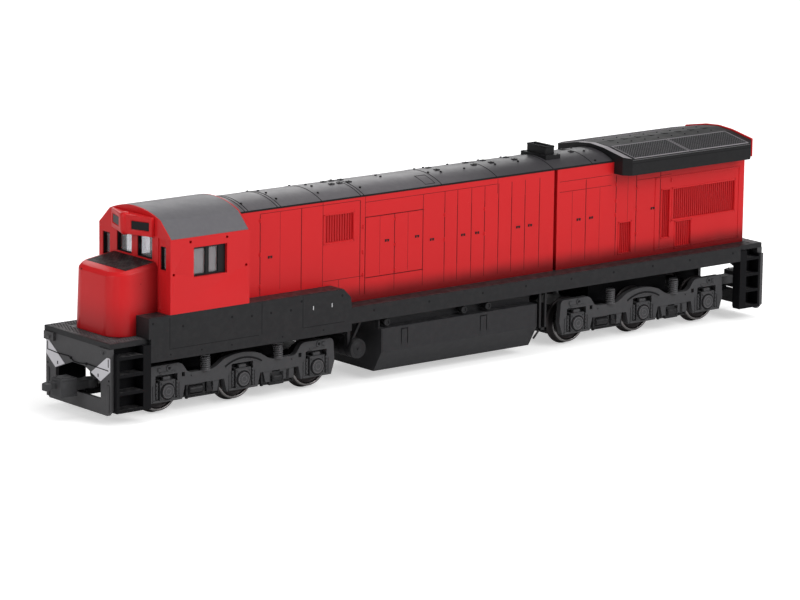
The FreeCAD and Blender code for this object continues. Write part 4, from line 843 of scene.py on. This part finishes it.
class LOCOMOTIVE_OT_tank(bpy.types.Operator):
    """Sight gauges, fillers, brackets and straps of the fuel tank and reservoirs"""

    bl_idname = "locomotive.tank"
    bl_label = "Tank and reservoirs"

    def execute(self, context):
        low, high = corners("fuel_tank")
        for name, side in SIDES:
            bm, dark = new_meshes(2)
            for start, stop in ((17.4, 19.9), (-11.0, -8.4)):
                add_blocks(bm, 0, side, [(x0, x1, SKIRT - 0.1, SKIRT, low, 14.4) for x0, x1, low in (
                    (start, start + 0.3, 10.0), (stop - 0.3, stop, 10.0), (start, stop, 14.1))])
                add_blocks(dark, 0, side, (
                    (start + 0.75, stop - 0.75, SKIRT - 0.2, SKIRT - 0.005, 10.3, 14.0),))
            for x in (24.2, -3.3, -12.0):
                add_turned(bm, (x, 0, 16.5), (0, side, 0),
                           [(12.0, 0), (12.0, 0.75), (14.3, 0.75), (14.4, 1.1), (15.5, 1.1), (15.65, 0.95),
                            (15.65, 0.6), (15.4, 0.5), (15.4, 0)], 20)
            add_blocks(bm, 0, side, (
                (25.6, 27.2, 13.4, 15.6, 14.9, 15.4, 0.1), (26.9, 27.3, 13.4, 15.6, 14.9, 17.6, 0.1),
                (-33.4, -32.7, 15.1, 15.7, 7.1, 17.95), (-31.4, -30.7, 15.1, 15.7, 7.1, 17.95),
                (-33.4, -30.7, 15.1, 15.7, 7.1, 7.8)))
            add_rod(bm, (-31.1, side * 15.4, 7.3), (-28.9, side * 15.4, 5.0), 0.3, sides=10)
            for x in (low.x + 0.2, high.x - 0.6):
                add_plate(bm, [(x, side * (SKIRT + y), z) for y, z in
                               ((0.01, 8.4), (0.01, 15.05), (-0.2, 15.05), (-0.2, 8.4))], (0.4, 0, 0))
            for x in range(-24, 25, 8):
                add_bolt(bm, (x, side * (SKIRT - 0.02), 9.1), (0, side, 0), 0.22, 0.03)
            make_piece("tank_fittings_" + name, bm, "black", soften=0.03)
            make_piece("tank_gauges_" + name, dark, "dark")
            self.reservoir(name, side)
        return {"FINISHED"}

    def reservoir(self, name, side):
        """Domed end, bands and brace of one air reservoir."""
        x, z = 33.1, 9.95
        bm = bmesh.new()
        dome = [(13.2, 0), (13.2, 2.78), (13.5, 2.78), (13.6, 2.5), (13.95, 2.1), (14.1, 1.2), (14.15, 0)]
        add_turned(bm, (x, 0, z), (0, side, 0), dome, 36)
        for near in (3.5, 8.0, 11.0):
            far = near + 0.6
            add_turned(bm, (x, 0, z), (0, side, 0), [(near, 2.6), (near, 2.82), (far, 2.82), (far, 2.6)], 36)
        add_plate(bm, [(x + along, side * 12.0, up) for along, up in
                       ((-2.2, 17.2), (-1.4, 17.2), (1.4, 12.4), (0.6, 12.4))], (0, side * 0.8, 0))
        add_bolt(bm, (x, side * 14.15, z), (0, side, 0), 0.5, 0.25)
        make_piece("reservoir_fittings_" + name, bm, "black")


# Hoods and roofs

# Beds of the louvres: from X, to X, from Z, to Z, and the pitch of their blades
LOUVRES = ((32.6, 42.3, 39.9, 47.3, 0.9), (-109.6, -85.5, 32.1, 40.9, 0.8), (-84.0, -81.2, 27.1, 41.0, 0.7),
           (-92.5, -86.6, 23.6, 31.1, 0.8), (-69.1, -64.9, 24.4, 33.2, 0.7))
# Raised rims on the hoods' sides, most of them round the louvres: from X, to X, from Z, to Z
RIMS = ((32.1, 42.8, 39.4, 47.8), (-110.1, -85.0, 31.6, 41.4), (-93.0, -86.2, 23.2, 31.5),
        (-84.4, -80.8, 26.7, 41.4), (-69.6, -64.4, 24.0, 33.6), (-111.6, -78.4, 23.7, 44.9))
# Latches and hinges of the hoods' doors: X, and Z of each one there
LATCHES = ((61.0, 38.3), (20.6, 38.2), (9.95, 38.1), (4.6, 36.6), (-6.6, 36.6), (-11.7, 36.6),
           (-26.7, 36.5), (-31.1, 36.5), (-49.3, 36.1), (-54.0, 36.1), (-77.6, 36.2))
HINGES = ((64.4, 48.6, 39.3, 30.5), (29.0, 42.9, 35.9, 29.6), (17.7, 43.9, 36.7, 29.6), (0.1, 43.0, 36.0),
          (-14.3, 43.0, 36.0), (-63.4, 44.8, 39.9, 35.8), (-71.4, 42.6, 36.6, 29.5), (-84.7, 43.7, 31.9))
# Lines on the hoods' sides: level ones from X, to X, at Z, and upright ones at X, from Z, to Z
LEVEL_LINES = ((30.1, 64.4, 50.4), (-18.9, 28.3, 49.6), (-61.5, -42.0, 47.6), (-61.5, -42.0, 44.6),
               (7.8, 28.3, 45.36), (7.8, 28.3, 28.46), (28.3, 42.9, 29.2), (-80.4, -71.2, 45.0),
               (-84.6, -80.4, 45.4))
UPRIGHT_LINES = ((43.0, 28.0, 51.2), (28.3, 24.0, 51.2), (37.4, 24.6, 29.2), (-19.0, 47.0, 51.2))
PANEL_LINES = ((57.6, 29.0, 50.3), (23.1, 28.9, 45.2), (13.2, 28.9, 45.2), (-46.8, 24.0, 44.5),
               (-57.2, 24.0, 44.5), (-67.9, 33.6, 47.4))


class LOCOMOTIVE_OT_hood_doors(bpy.types.Operator):
    """Latches, hinges, louvres, rims and thin seams on the hoods"""

    bl_idname = "locomotive.hood_doors"
    bl_label = "Hood doors"

    def execute(self, context):
        for name, side in SIDES:
            latches, hinges, lines, panels, blades, beds = new_meshes(6)
            for x, z in LATCHES:
                add_blocks(latches, x, side, (
                    (-0.71, -0.71 + 0.52, HOOD - 0.1, HOOD + 0.16, z - 0.35, z + 0.35, 0.06),
                    (0.19, 0.19 + 0.52, HOOD - 0.1, HOOD + 0.16, z - 0.35, z + 0.35, 0.06),
                    (-0.5, 0.5, HOOD - 0.1, HOOD + 0.1, z + 0.1, z + 0.25)))
            for x, *levels in HINGES:
                for z in levels:
                    self.hinge(hinges, x, side * (HOOD + 0.05), z)
                    add_blocks(hinges, x, side, (
                        (-0.5, 0.5, HOOD - 0.05, HOOD + 0.07, z - 0.3, z + 0.3, 0.03),))
            for rim in RIMS:
                add_blocks(hinges, 0, side, [(x0, x1, HOOD - 0.1, HOOD + 0.12, z0, z1, 0.03)
                                             for x0, x1, z0, z1 in border(*rim, 0.3)])
            add_blocks(hinges, 0, side, [(-34.64, 7.7, HOOD - 0.25, HOOD + 0.004, z - 0.01, z + 0.26)
                                         for z in (28.4, 45.3)])
            add_blocks(lines, 0, side, [(x0, x1, HOOD - 0.1, HOOD + 0.015, z, z + 0.12)
                                        for x0, x1, z in LEVEL_LINES])
            for bm, rows, half, deep, proud in ((lines, self.seams(), 0.09, 0.15, 0.012),
                                                (lines, UPRIGHT_LINES, 0.07, 0.1, 0.012),
                                                (panels, PANEL_LINES, 0.06, 0.1, 0.008)):
                add_blocks(bm, 0, side, [(x - half, x + half, HOOD - deep, HOOD + proud, *reach)
                                         for x, *reach in rows])
            for x0, x1, z0, z1, pitch in LOUVRES:
                self.slats(blades, x0, x1, z0, z1, side, pitch)
                add_blocks(beds, 0, side, ((x0, x1, HOOD - 0.6, HOOD - 0.46, z0, z1),))
            for part, bm, finish in (
                    ("latches", latches, "latch"), ("hinges", hinges, "hood_red"),
                    ("lines", lines, "seam_red"), ("panel_lines", panels, "louvre_red"),
                    ("louvres", blades, "louvre_blade"), ("louvre_backs", beds, "louvre_red")):
                make_piece(f"hood_{part}_{name}", bm, finish)
        self.rear_doors()
        return {"FINISHED"}

    def hinge(self, bm, x, y, z):
        add_rod(bm, (x, y, z - 0.6), (x, y, z + 0.6), 0.2, sides=10, round_off=0.06)

    def rear_doors(self):
        """Two doors in the rear wall, with their hinges and latches."""
        wall = end_face("radiator_hood", -1)
        foot, head, inner, outer = 26.2, 45.2, 0.5, 8.3
        lines, latches, hinges = new_meshes(3)
        for _, side in SIDES:
            for z in (foot, head):
                add_blocks(lines, wall, side, ((-0.012, 0.1, inner, outer, z - 0.08, z + 0.08),))
            for y in (inner, outer):
                add_blocks(lines, wall, side, ((-0.012, 0.1, y - 0.08, y + 0.08, foot, head),))
            add_blocks(latches, wall, side, ((-0.16, 0.1, 1.0, 2.0, 35.4, 36.1, 0.06),))
            for z in (29.0, 35.8, 42.4):
                self.hinge(hinges, wall - 0.05, side * outer, z)
        make_piece("rear_door_lines", lines, "seam_red")
        make_piece("rear_door_latches", latches, "latch")
        make_piece("rear_door_hinges", hinges, "hood_red")

    def seams(self):
        """Places along the locomotive and ends of the upright grooves in the hoods' sides."""
        return [(start - length * share, 24.0, head) for start, length, head, shares in (
            (72.2, 112.1, 50.4, (0.07, 0.195, 0.376)),
            (72.2, 112.1, 45.4, (0.392, 0.484)),
            (72.2, 112.1, 49.7, (0.574, 0.643, 0.684, 0.729, 0.772, 0.817, 0.86, 0.904, 0.952)),
            (-41.1, 71.3, 47.4, (0.152, 0.313, 0.422, 0.552))) for share in shares]

    def slats(self, bm, x0, x1, z0, z1, side, pitch):
        """Upright slanted blades that fill a louvre's bed."""
        count = round((x1 - x0) / pitch)
        step = (x1 - x0) / count
        for number in range(count):
            x = x0 + number * step
            add_plate(bm, [(x + share * step, side * (HOOD - deep), z0) for share, deep in
                           ((0.02, 0.40), (0.78, 0.18), (0.92, 0.26), (0.92, 0.48), (0.02, 0.48))],
                      (0, 0, z1 - z0))


def roof_height(y):
    """Height of the hoods' bowed roof at a distance from its crest."""
    return ROOF_CENTRE + math.sqrt(ROOF_RADIUS ** 2 - y ** 2)


def add_roof_bar(bm, x, far, near, wide, high, steps):
    """A bar across the hoods' roof, between two distances from its crest."""
    start, stop = math.asin(far / ROOF_RADIUS), math.asin(near / ROOF_RADIUS)
    add_arc_bar(bm, (x, 0, ROOF_CENTRE), (1, 0, 0), ROOF_RADIUS, math.pi / 2 - start, start - stop,
                wide, high, steps)


class LOCOMOTIVE_OT_hood_roof(bpy.types.Operator):
    """Seams, lifting eyes and bolts on the hoods' roof"""

    bl_idname = "locomotive.hood_roof"
    bl_label = "Hood roof"

    def execute(self, context):
        seams, bm, hatch = new_meshes(3)
        for x in (68.05, 69.15, 57.05, 58.15, 28.45, 29.55, 43.1, 0.9, -19.0, -39.9, -54.6):
            add_roof_bar(seams, x, 10.45, -10.45, sizes().seam / MM, 0.05, 32)
        eaves = roof_height(9.95)
        for _, side in SIDES:
            add_plate(seams, [(-62.3, side * 9.95, eaves), (72.0, side * 9.95, eaves),
                              (72.0, side * 10.56, 51.28), (-62.3, side * 10.56, 51.28)], (0, 0, 0.05))
        make_piece("hood_roof_seams", seams, "dark")
        for x, y in ((67.9, 6.55), (55.9, 1.8), (56.0, 6.45), (41.6, 6.35), (39.9, 1.35), (27.1, 6.5),
                     (15.6, 1.1), (0.2, 3.05), (-3.7, 3.9), (-12.3, 3.7), (-23.6, 3.7), (-32.0, 3.8),
                     (-56.5, 8.9), (-57.6, 2.75)):
            for side in (-1, 1):
                z = roof_height(y)
                out = Vector((0, side * y, z - ROOF_CENTRE)).normalized()
                add_bolt(bm, (x, side * y, z), out, 0.42, 0.3, 8)
        z = roof_height(1.8)
        for x in (33.4, 30.6, 27.4, -3.9, -17.3, -23.7, -32.3, -53.5):
            for side in (-1, 1):
                add_blocks(bm, x, side, ((-0.75, 0.75, 1.2, 2.4, z - 0.1, z + 0.22, 0.06),))
                add_bolt(bm, (x, side * 1.8, z + 0.22), (0, 0, 1), 0.3, 0.12, 8)
        make_piece("hood_roof_fittings", bm, "latch")
        for near, far in ((4.2, 4.35), (9.0, 9.15)):
            add_plate(hatch, [(x, y, roof_height(y)) for x, y in
                              ((2.6, near), (6.2, near), (6.2, far), (2.6, far))], (0, 0.02, 0.04))
        for x in (2.6, 6.05):
            add_roof_bar(hatch, x, 9.1, 4.2, 0.16, 0.04, 8)
        make_piece("hood_roof_hatch", hatch, "dark")
        return {"FINISHED"}


def slope_height(y):
    """Height of the radiator roof's slope at a distance from the middle."""
    return SLOPE_FOOT + (SLOPE_SIDE - y) * SLOPE_RISE


def add_slope_plate(bm, side, x0, x1, inner, outer, lift, thick):
    """A flat strip on one slope of the radiator roof."""
    add_plate(bm, [(x, side * y, slope_height(y) + lift)
                   for x, y in ((x0, inner), (x1, inner), (x1, outer), (x0, outer))], (0, 0, thick))


class LOCOMOTIVE_OT_radiator(bpy.types.Operator):
    """Meshes, bars, bands and lips on the radiator roof"""

    bl_idname = "locomotive.radiator"
    bl_label = "Radiator roof"

    def execute(self, context):
        low, high = corners("radiator_roof")
        rear, front = low.x, high.x
        split = rear + (front - rear) * 0.518
        mesh, trim, beds, edging, frames, groove, band, seam, rim = new_meshes(9)
        for _, side in SIDES:
            for x0, x1 in ((rear + 2.85, split - 0.2), (split + 0.2, front - 2.8)):
                self.panel(mesh, x0, x1, side, 6.0, 15.9)
                add_slope_plate(beds, side, x0, x1, 6.0, 15.9, -0.03, 0.06)
                for y in (5.85, 15.8):
                    add_slope_plate(frames, side, x0, x1, y, y + 0.25, 0, 0.18)
                for x in (x0, x1 - 0.25):
                    add_slope_plate(frames, side, x, x + 0.25, 5.9, 15.7, 0, 0.18)
            add_blocks(edging, 0, side, ((rear + 2.1, front - 2.1, 15.85, 16.18, 52.3, 52.45, 0.05),))
            add_blocks(groove, 0, side, ((rear + 2.1, front - 2.1, 16.0, 16.12, 51.3, 51.5),))
        for number in range(8):
            x = rear + 5 + number * 5.2
            add_blocks(trim, x, 1, ((0, 1.6, -0.7, 0.7, 55.1, 55.32, 0.06),))
            for side in (-1, 1):
                add_bolt(trim, (x + 0.8, side * 3.2, 55.0), (0, 0, 1), 0.3, 0.15)
        ridge = [(-14.1, 53.14), (-5.6, 54.76), (0, 55.23), (5.6, 54.76), (14.1, 53.14)]
        for bm, near, far, lift in ((band, 0.02, 2.0, 0.02), (seam, 2.0, 2.4, 0.03)):
            for (y0, z0), (y1, z1) in zip(ridge, ridge[1:]):
                add_plate(bm, [(front - near, y0, z0 + lift), (front - near, y1, z1 + lift),
                               (front - far, y1, z1 + lift), (front - far, y0, z0 + lift)], (0, 0, -0.2))
            for _, side in SIDES:
                outline = [(near, 14.1, 53.14), (far, 14.1, 53.14), (far, 16.06, 52.77)]
                if bm is seam:
                    outline.append((near, 16.06, 52.77))
                add_plate(bm, [(front - along, side * y, z + lift) for along, y, z in outline], (0, 0, -0.2))
        half = [(14.35, 48.2), (14.35, 53.55), (5.6, 55.15), (0, 55.55)]
        add_plate(rim, [(rear - 0.02, y, z) for y, z in half + [(-y, z) for y, z in reversed(half[:-1])]],
                  (-0.5, 0, 0))
        deep = make_piece("radiator_meshes", mesh, "mesh").modifiers.new("bars", "SOLIDIFY")
        deep.thickness = 0.1 * MM
        deep.offset = 0
        for part, bm, finish in (
                ("beds", beds, "dark"), ("trim", trim, "roof_black"), ("edging", edging, "trim"),
                ("frames", frames, "lip"), ("side_grooves", groove, "dark"), ("front_lip", band, "lip"),
                ("front_seam", seam, "dark")):
            make_piece("radiator_" + part, bm, finish)
        make_piece("radiator_rear_rim", rim, "red", soften=0.12)
        return {"FINISHED"}

    def panel(self, bm, x0, x1, side, inner, outer):
        """One panel of crossed bars with square gaps that lies in its bed on a slope."""
        cell = 0.92
        columns, rows = round((x1 - x0) / cell), round((outer - inner) / cell)
        across = (inner + outer) / 2
        middle = Vector(((x0 + x1) / 2, side * across, slope_height(across) + 0.08))
        lean = Matrix.Rotation(-side * math.atan(SLOPE_RISE), 4, "X")
        spread = Matrix.Diagonal(((x1 - x0) / 2, (outer - inner) / 2, 1, 1))
        made = bmesh.ops.create_grid(bm, x_segments=columns, y_segments=rows, size=1.0,
                                     matrix=Matrix.Translation(middle) @ lean @ spread)["verts"]
        inside = [edge for edge in edges_of(made) if not edge.is_boundary]
        bmesh.ops.poke(bm, faces=faces_of(made))
        bmesh.ops.dissolve_edges(bm, edges=inside)
        gaps = [face for face in faces_of(vert for vert in made if vert.is_valid) if len(face.verts) == 4]
        bmesh.ops.inset_individual(bm, faces=gaps, thickness=0.13, depth=0.0)
        bmesh.ops.delete(bm, geom=gaps, context="FACES")


class LOCOMOTIVE_OT_stack(bpy.types.Operator):
    """Rim, flange and dark throat of the exhaust stack"""

    bl_idname = "locomotive.stack"
    bl_label = "Exhaust stack"

    def execute(self, context):
        x = middle_of("exhaust_stack").x
        top = corners("exhaust_stack")[1].z
        bm, throat = new_meshes(2)
        add_blocks(bm, x, 1, [(x0, x1, y0, y1, top - 0.45, top, 0.1) for x0, x1, y0, y1 in (
            (-1.7, 1.7, -4.1, -3.5), (-1.7, 1.7, 3.5, 4.1),
            (-1.7, -1.15, -4.1, 4.1), (1.15, 1.7, -4.1, 4.1))])
        for side in (-1, 1):
            for along in (-2.2, 2.2):
                add_bolt(bm, (x + along, side * 4.9, 54.45), (0, 0, 1), 0.3, 0.2)
        make_piece("stack_rim", bm, "roof_black")
        add_blocks(throat, x, 1, ((-1.15, 1.15, -3.5, 3.5, 54.45, 54.6),))
        make_piece("stack_throat", throat, "dark")
        return {"FINISHED"}


# Cab and nose

class LOCOMOTIVE_OT_cab(bpy.types.Operator):
    """Softened mouldings, window gaskets, blank boards and lamp pods of the cab and housings"""

    bl_idname = "locomotive.cab"
    bl_label = "Cab"

    def execute(self, context):
        soften_node("cab_shell", "cab_moulding", "red", 0.12)
        soften_node("cab_roof", "cab_roof_moulding", "cab_grey", 0.12)
        bm = bmesh.new()
        front, rear = end_face("cab_shell", 1), end_face("cab_shell", -1)
        for _, side in SIDES:
            self.gasket(bm, front, 1, side * 1.3, side * 8.0, 41.6, 47.7)
            self.gasket(bm, rear, -1, side * 11.3, side * 14.5, 39.5, 45.8)
        self.gasket(bm, front - 0.3, 1, 11.3, 13.7, 39.5, 45.8)
        self.gasket(bm, front, 1, -11.3, -14.5, 39.5, 45.8)
        make_piece("cab_gaskets", bm, "latch")
        for end, way in ENDS:
            node = end + "_number_housing"
            soften_node(node, node + "_moulding", "red", 0.30)
            low, high = corners(node)
            self.boards(end, way, low.x if way > 0 else high.x, low.z + 1.5, high.z - 1.5)
            self.pod(end, end_face(node, way) - way * 1.0, low.z - 0.4)
        return {"FINISHED"}

    def pod(self, end, x, foot):
        """The rounded lamp column on the prow of a number housing."""
        bm = bmesh.new()
        add_turned(bm, (x, 0, foot), (0, 0, 1), [(0, 0), (0.05, 0.7), (0.5, 1.25), (1.2, 1.5), (5.0, 1.5),
                                                 (5.7, 1.3), (6.05, 0.8), (6.15, 0)], 28)
        make_piece(end + "_lamp_pod", bm, "red", smooth=50)

    def gasket(self, bm, wall, way, inner, outer, sill, head):
        """A thin dark lining in a window opening of an end wall."""
        for y0, y1, z0, z1 in border(*sorted((inner, outer)), sill, head, 0.22):
            add_block(bm, (wall - way * 1.2, y0, z0), (wall - way * 0.25, y1, z1))

    def boards(self, end, way, back, foot, head):
        """Two blank boards on a number housing."""
        bm = bmesh.new()
        for _, side in SIDES:
            heel, prow = Vector((back + way * 1.0, side * 9.1)), Vector((back + way * 4.0, side * 0.6))
            a, b = (heel.lerp(prow, share) - Vector((way * 0.2, 0)) for share in (0.115, 0.735))
            add_plate(bm, [(*a, foot), (*b, foot), (*b, head), (*a, head)], (way * 0.06, 0, 0))
        make_piece(end + "_blank_boards", bm, "board")


class LOCOMOTIVE_OT_nose(bpy.types.Operator):
    """The softened nose, its lamp hole and its small handrail holes"""

    bl_idname = "locomotive.nose"
    bl_label = "Nose"

    def execute(self, context):
        face = end_face("nose", 1)
        soften_node("nose", "nose_moulding", "nose_red", 0.42)
        bm = bmesh.new()
        add_bolt(bm, (face - 0.75, -5.6, 38.3), (1, 0, 0), 0.45, 0.06, 12)
        add_bolt(bm, (face - 0.75, 5.6, 38.3), (1, 0, 0), 0.2, 0.05, 10)
        for side in (-1, 1):
            add_bolt(bm, (face - 8.5, side * 10.5, 36.1), (0, side, 0), 0.18, 0.06, 8)
        make_piece("nose_holes", bm, "seam_red")
        return {"FINISHED"}


# Stage

def seen_directly(tree):
    """The kinds of ray, and whether one comes straight from the camera or through glass."""
    path = add_node(tree, "LightPath").outputs
    return path, maths(tree, "MAXIMUM", path["Is Camera Ray"], path["Is Transmission Ray"])


class LOCOMOTIVE_OT_stage(bpy.types.Operator):
    """Pale floor, soft light and the camera"""

    bl_idname = "locomotive.stage"
    bl_label = "Stage"

    def execute(self, context):
        self.floor(context)
        self.light("key", (-0.35, 1.2, 0.85), (0, 0, 0.02), 1.1, 15.5)
        self.light("top", (-0.15, 0.1, 1.4), (0, 0, 0.02), 1.0, 6.0)
        self.light("end", (1.35, -0.05, 0.6), (0.08, 0, 0.02), 0.8, 6.0)
        self.light("sheen", (-0.46, -0.68, 0.36), (0.05, 0, 0.05), 0.45, 0.9)
        self.world(context)
        self.camera(context)
        context.scene.view_settings.view_transform = "Standard"
        return {"FINISHED"}

    def floor(self, context):
        """A pale matt floor that keeps the shadow and shows a little brighter to the camera."""
        bm = bmesh.new()
        bmesh.ops.create_grid(bm, x_segments=1, y_segments=1, size=3.0)
        mesh = bpy.data.meshes.new("floor")
        bm.to_mesh(mesh)
        bm.free()
        floor = bpy.data.objects.new("floor", mesh)
        context.scene.collection.objects.link(floor)
        floor.location = (0, 0, -0.00002)
        material, tree, shader = new_material("pale floor", {
            "Base Color": (0.82, 0.82, 0.82, 1), "Roughness": 0.9, "Specular IOR Level": 0.1,
            "Emission Color": (1, 1, 1, 1)})
        feed(tree, shader["Emission Strength"], maths(tree, "MULTIPLY", seen_directly(tree)[1], 0.50))
        mesh.materials.append(material)

    def light(self, name, at, to, size, power):
        """A round soft lamp at one place that points to another."""
        lamp = bpy.data.lights.new(name, "AREA")
        lamp.shape = "DISK"
        lamp.size = size
        lamp.energy = power
        obj = bpy.data.objects.new(name, lamp)
        bpy.context.scene.collection.objects.link(obj)
        obj.location = at
        obj.rotation_euler = (Vector(to) - Vector(at)).to_track_quat("-Z", "Y").to_euler()

    def world(self, context):
        """An even pale world, brighter to the camera and dimmer in reflections."""
        world = bpy.data.worlds.new("studio")
        context.scene.world = world
        world.use_nodes = True
        tree = world.node_tree
        sky = tree.nodes["Background"].inputs
        path, seen = seen_directly(tree)
        dim = maths(tree, "SUBTRACT", 0.28, maths(tree, "MULTIPLY", path["Is Glossy Ray"], 0.18))
        sky["Color"].default_value = (1, 1, 1, 1)
        feed(tree, sky["Strength"], maths(tree, "ADD", maths(tree, "MULTIPLY", seen, 0.72), dim))

    def camera(self, context):
        """The photograph's view, from its direction, distance and roll."""
        side, rise, roll = (math.radians(v) for v in (39.136, 12.133, 0.763))
        target = Vector((7.156, 0, 17.90)) * MM
        distance = 1272.34 * MM
        focal, photo_width = 4559, 800
        back = Vector((math.sin(side) * math.cos(rise), math.cos(side) * math.cos(rise), math.sin(rise)))
        right = Vector((0, 0, 1)).cross(back).normalized()
        up = back.cross(right)
        across = right * math.cos(roll) + up * math.sin(roll)
        over = up * math.cos(roll) - right * math.sin(roll)
        lens = bpy.data.cameras.new("camera")
        lens.sensor_width = 36
        lens.lens = focal / photo_width * lens.sensor_width
        lens.clip_start = 0.01
        obj = bpy.data.objects.new("camera", lens)
        context.scene.collection.objects.link(obj)
        obj.matrix_world = Matrix.Translation(target + back * distance) @ Matrix(
            (across, over, back)).transposed().to_4x4()
        context.scene.camera = obj


class LOCOMOTIVE_PT_pieces(bpy.types.Panel):
    """Lists the locomotive's pieces, colours and sizes"""

    bl_label = "Locomotive"
    bl_space_type = "VIEW_3D"
    bl_region_type = "UI"
    bl_category = "Locomotive"

    def draw(self, context):
        for operator in OPERATORS:
            self.layout.operator(operator.bl_idname)
        for group in (colours(), sizes()):
            for name in group.__annotations__:
                self.layout.prop(group, name)


OPERATORS = (
    LOCOMOTIVE_OT_finishes, LOCOMOTIVE_OT_wheels, LOCOMOTIVE_OT_springs, LOCOMOTIVE_OT_side_frames,
    LOCOMOTIVE_OT_couplers, LOCOMOTIVE_OT_pilots, LOCOMOTIVE_OT_decks, LOCOMOTIVE_OT_skirts,
    LOCOMOTIVE_OT_tank, LOCOMOTIVE_OT_hood_doors, LOCOMOTIVE_OT_hood_roof, LOCOMOTIVE_OT_radiator,
    LOCOMOTIVE_OT_stack, LOCOMOTIVE_OT_cab, LOCOMOTIVE_OT_nose, LOCOMOTIVE_OT_stage,
)
CLASSES = (LocomotiveColours, LocomotiveSizes, *OPERATORS, LOCOMOTIVE_PT_pieces)


def register():
    for cls in CLASSES:
        bpy.utils.register_class(cls)
    bpy.types.Scene.locomotive_colours = PointerProperty(type=LocomotiveColours)
    bpy.types.Scene.locomotive_sizes = PointerProperty(type=LocomotiveSizes)


def unregister():
    del bpy.types.Scene.locomotive_colours
    del bpy.types.Scene.locomotive_sizes
    for cls in reversed(CLASSES):
        bpy.utils.unregister_class(cls)


def main():
    register()
    for operator in OPERATORS:
        group, name = operator.bl_idname.split(".")
        if getattr(getattr(bpy.ops, group), name)() != {"FINISHED"}:
            raise RuntimeError(operator.bl_label + " wasn't finished")


if __name__ == "__main__":
    main()
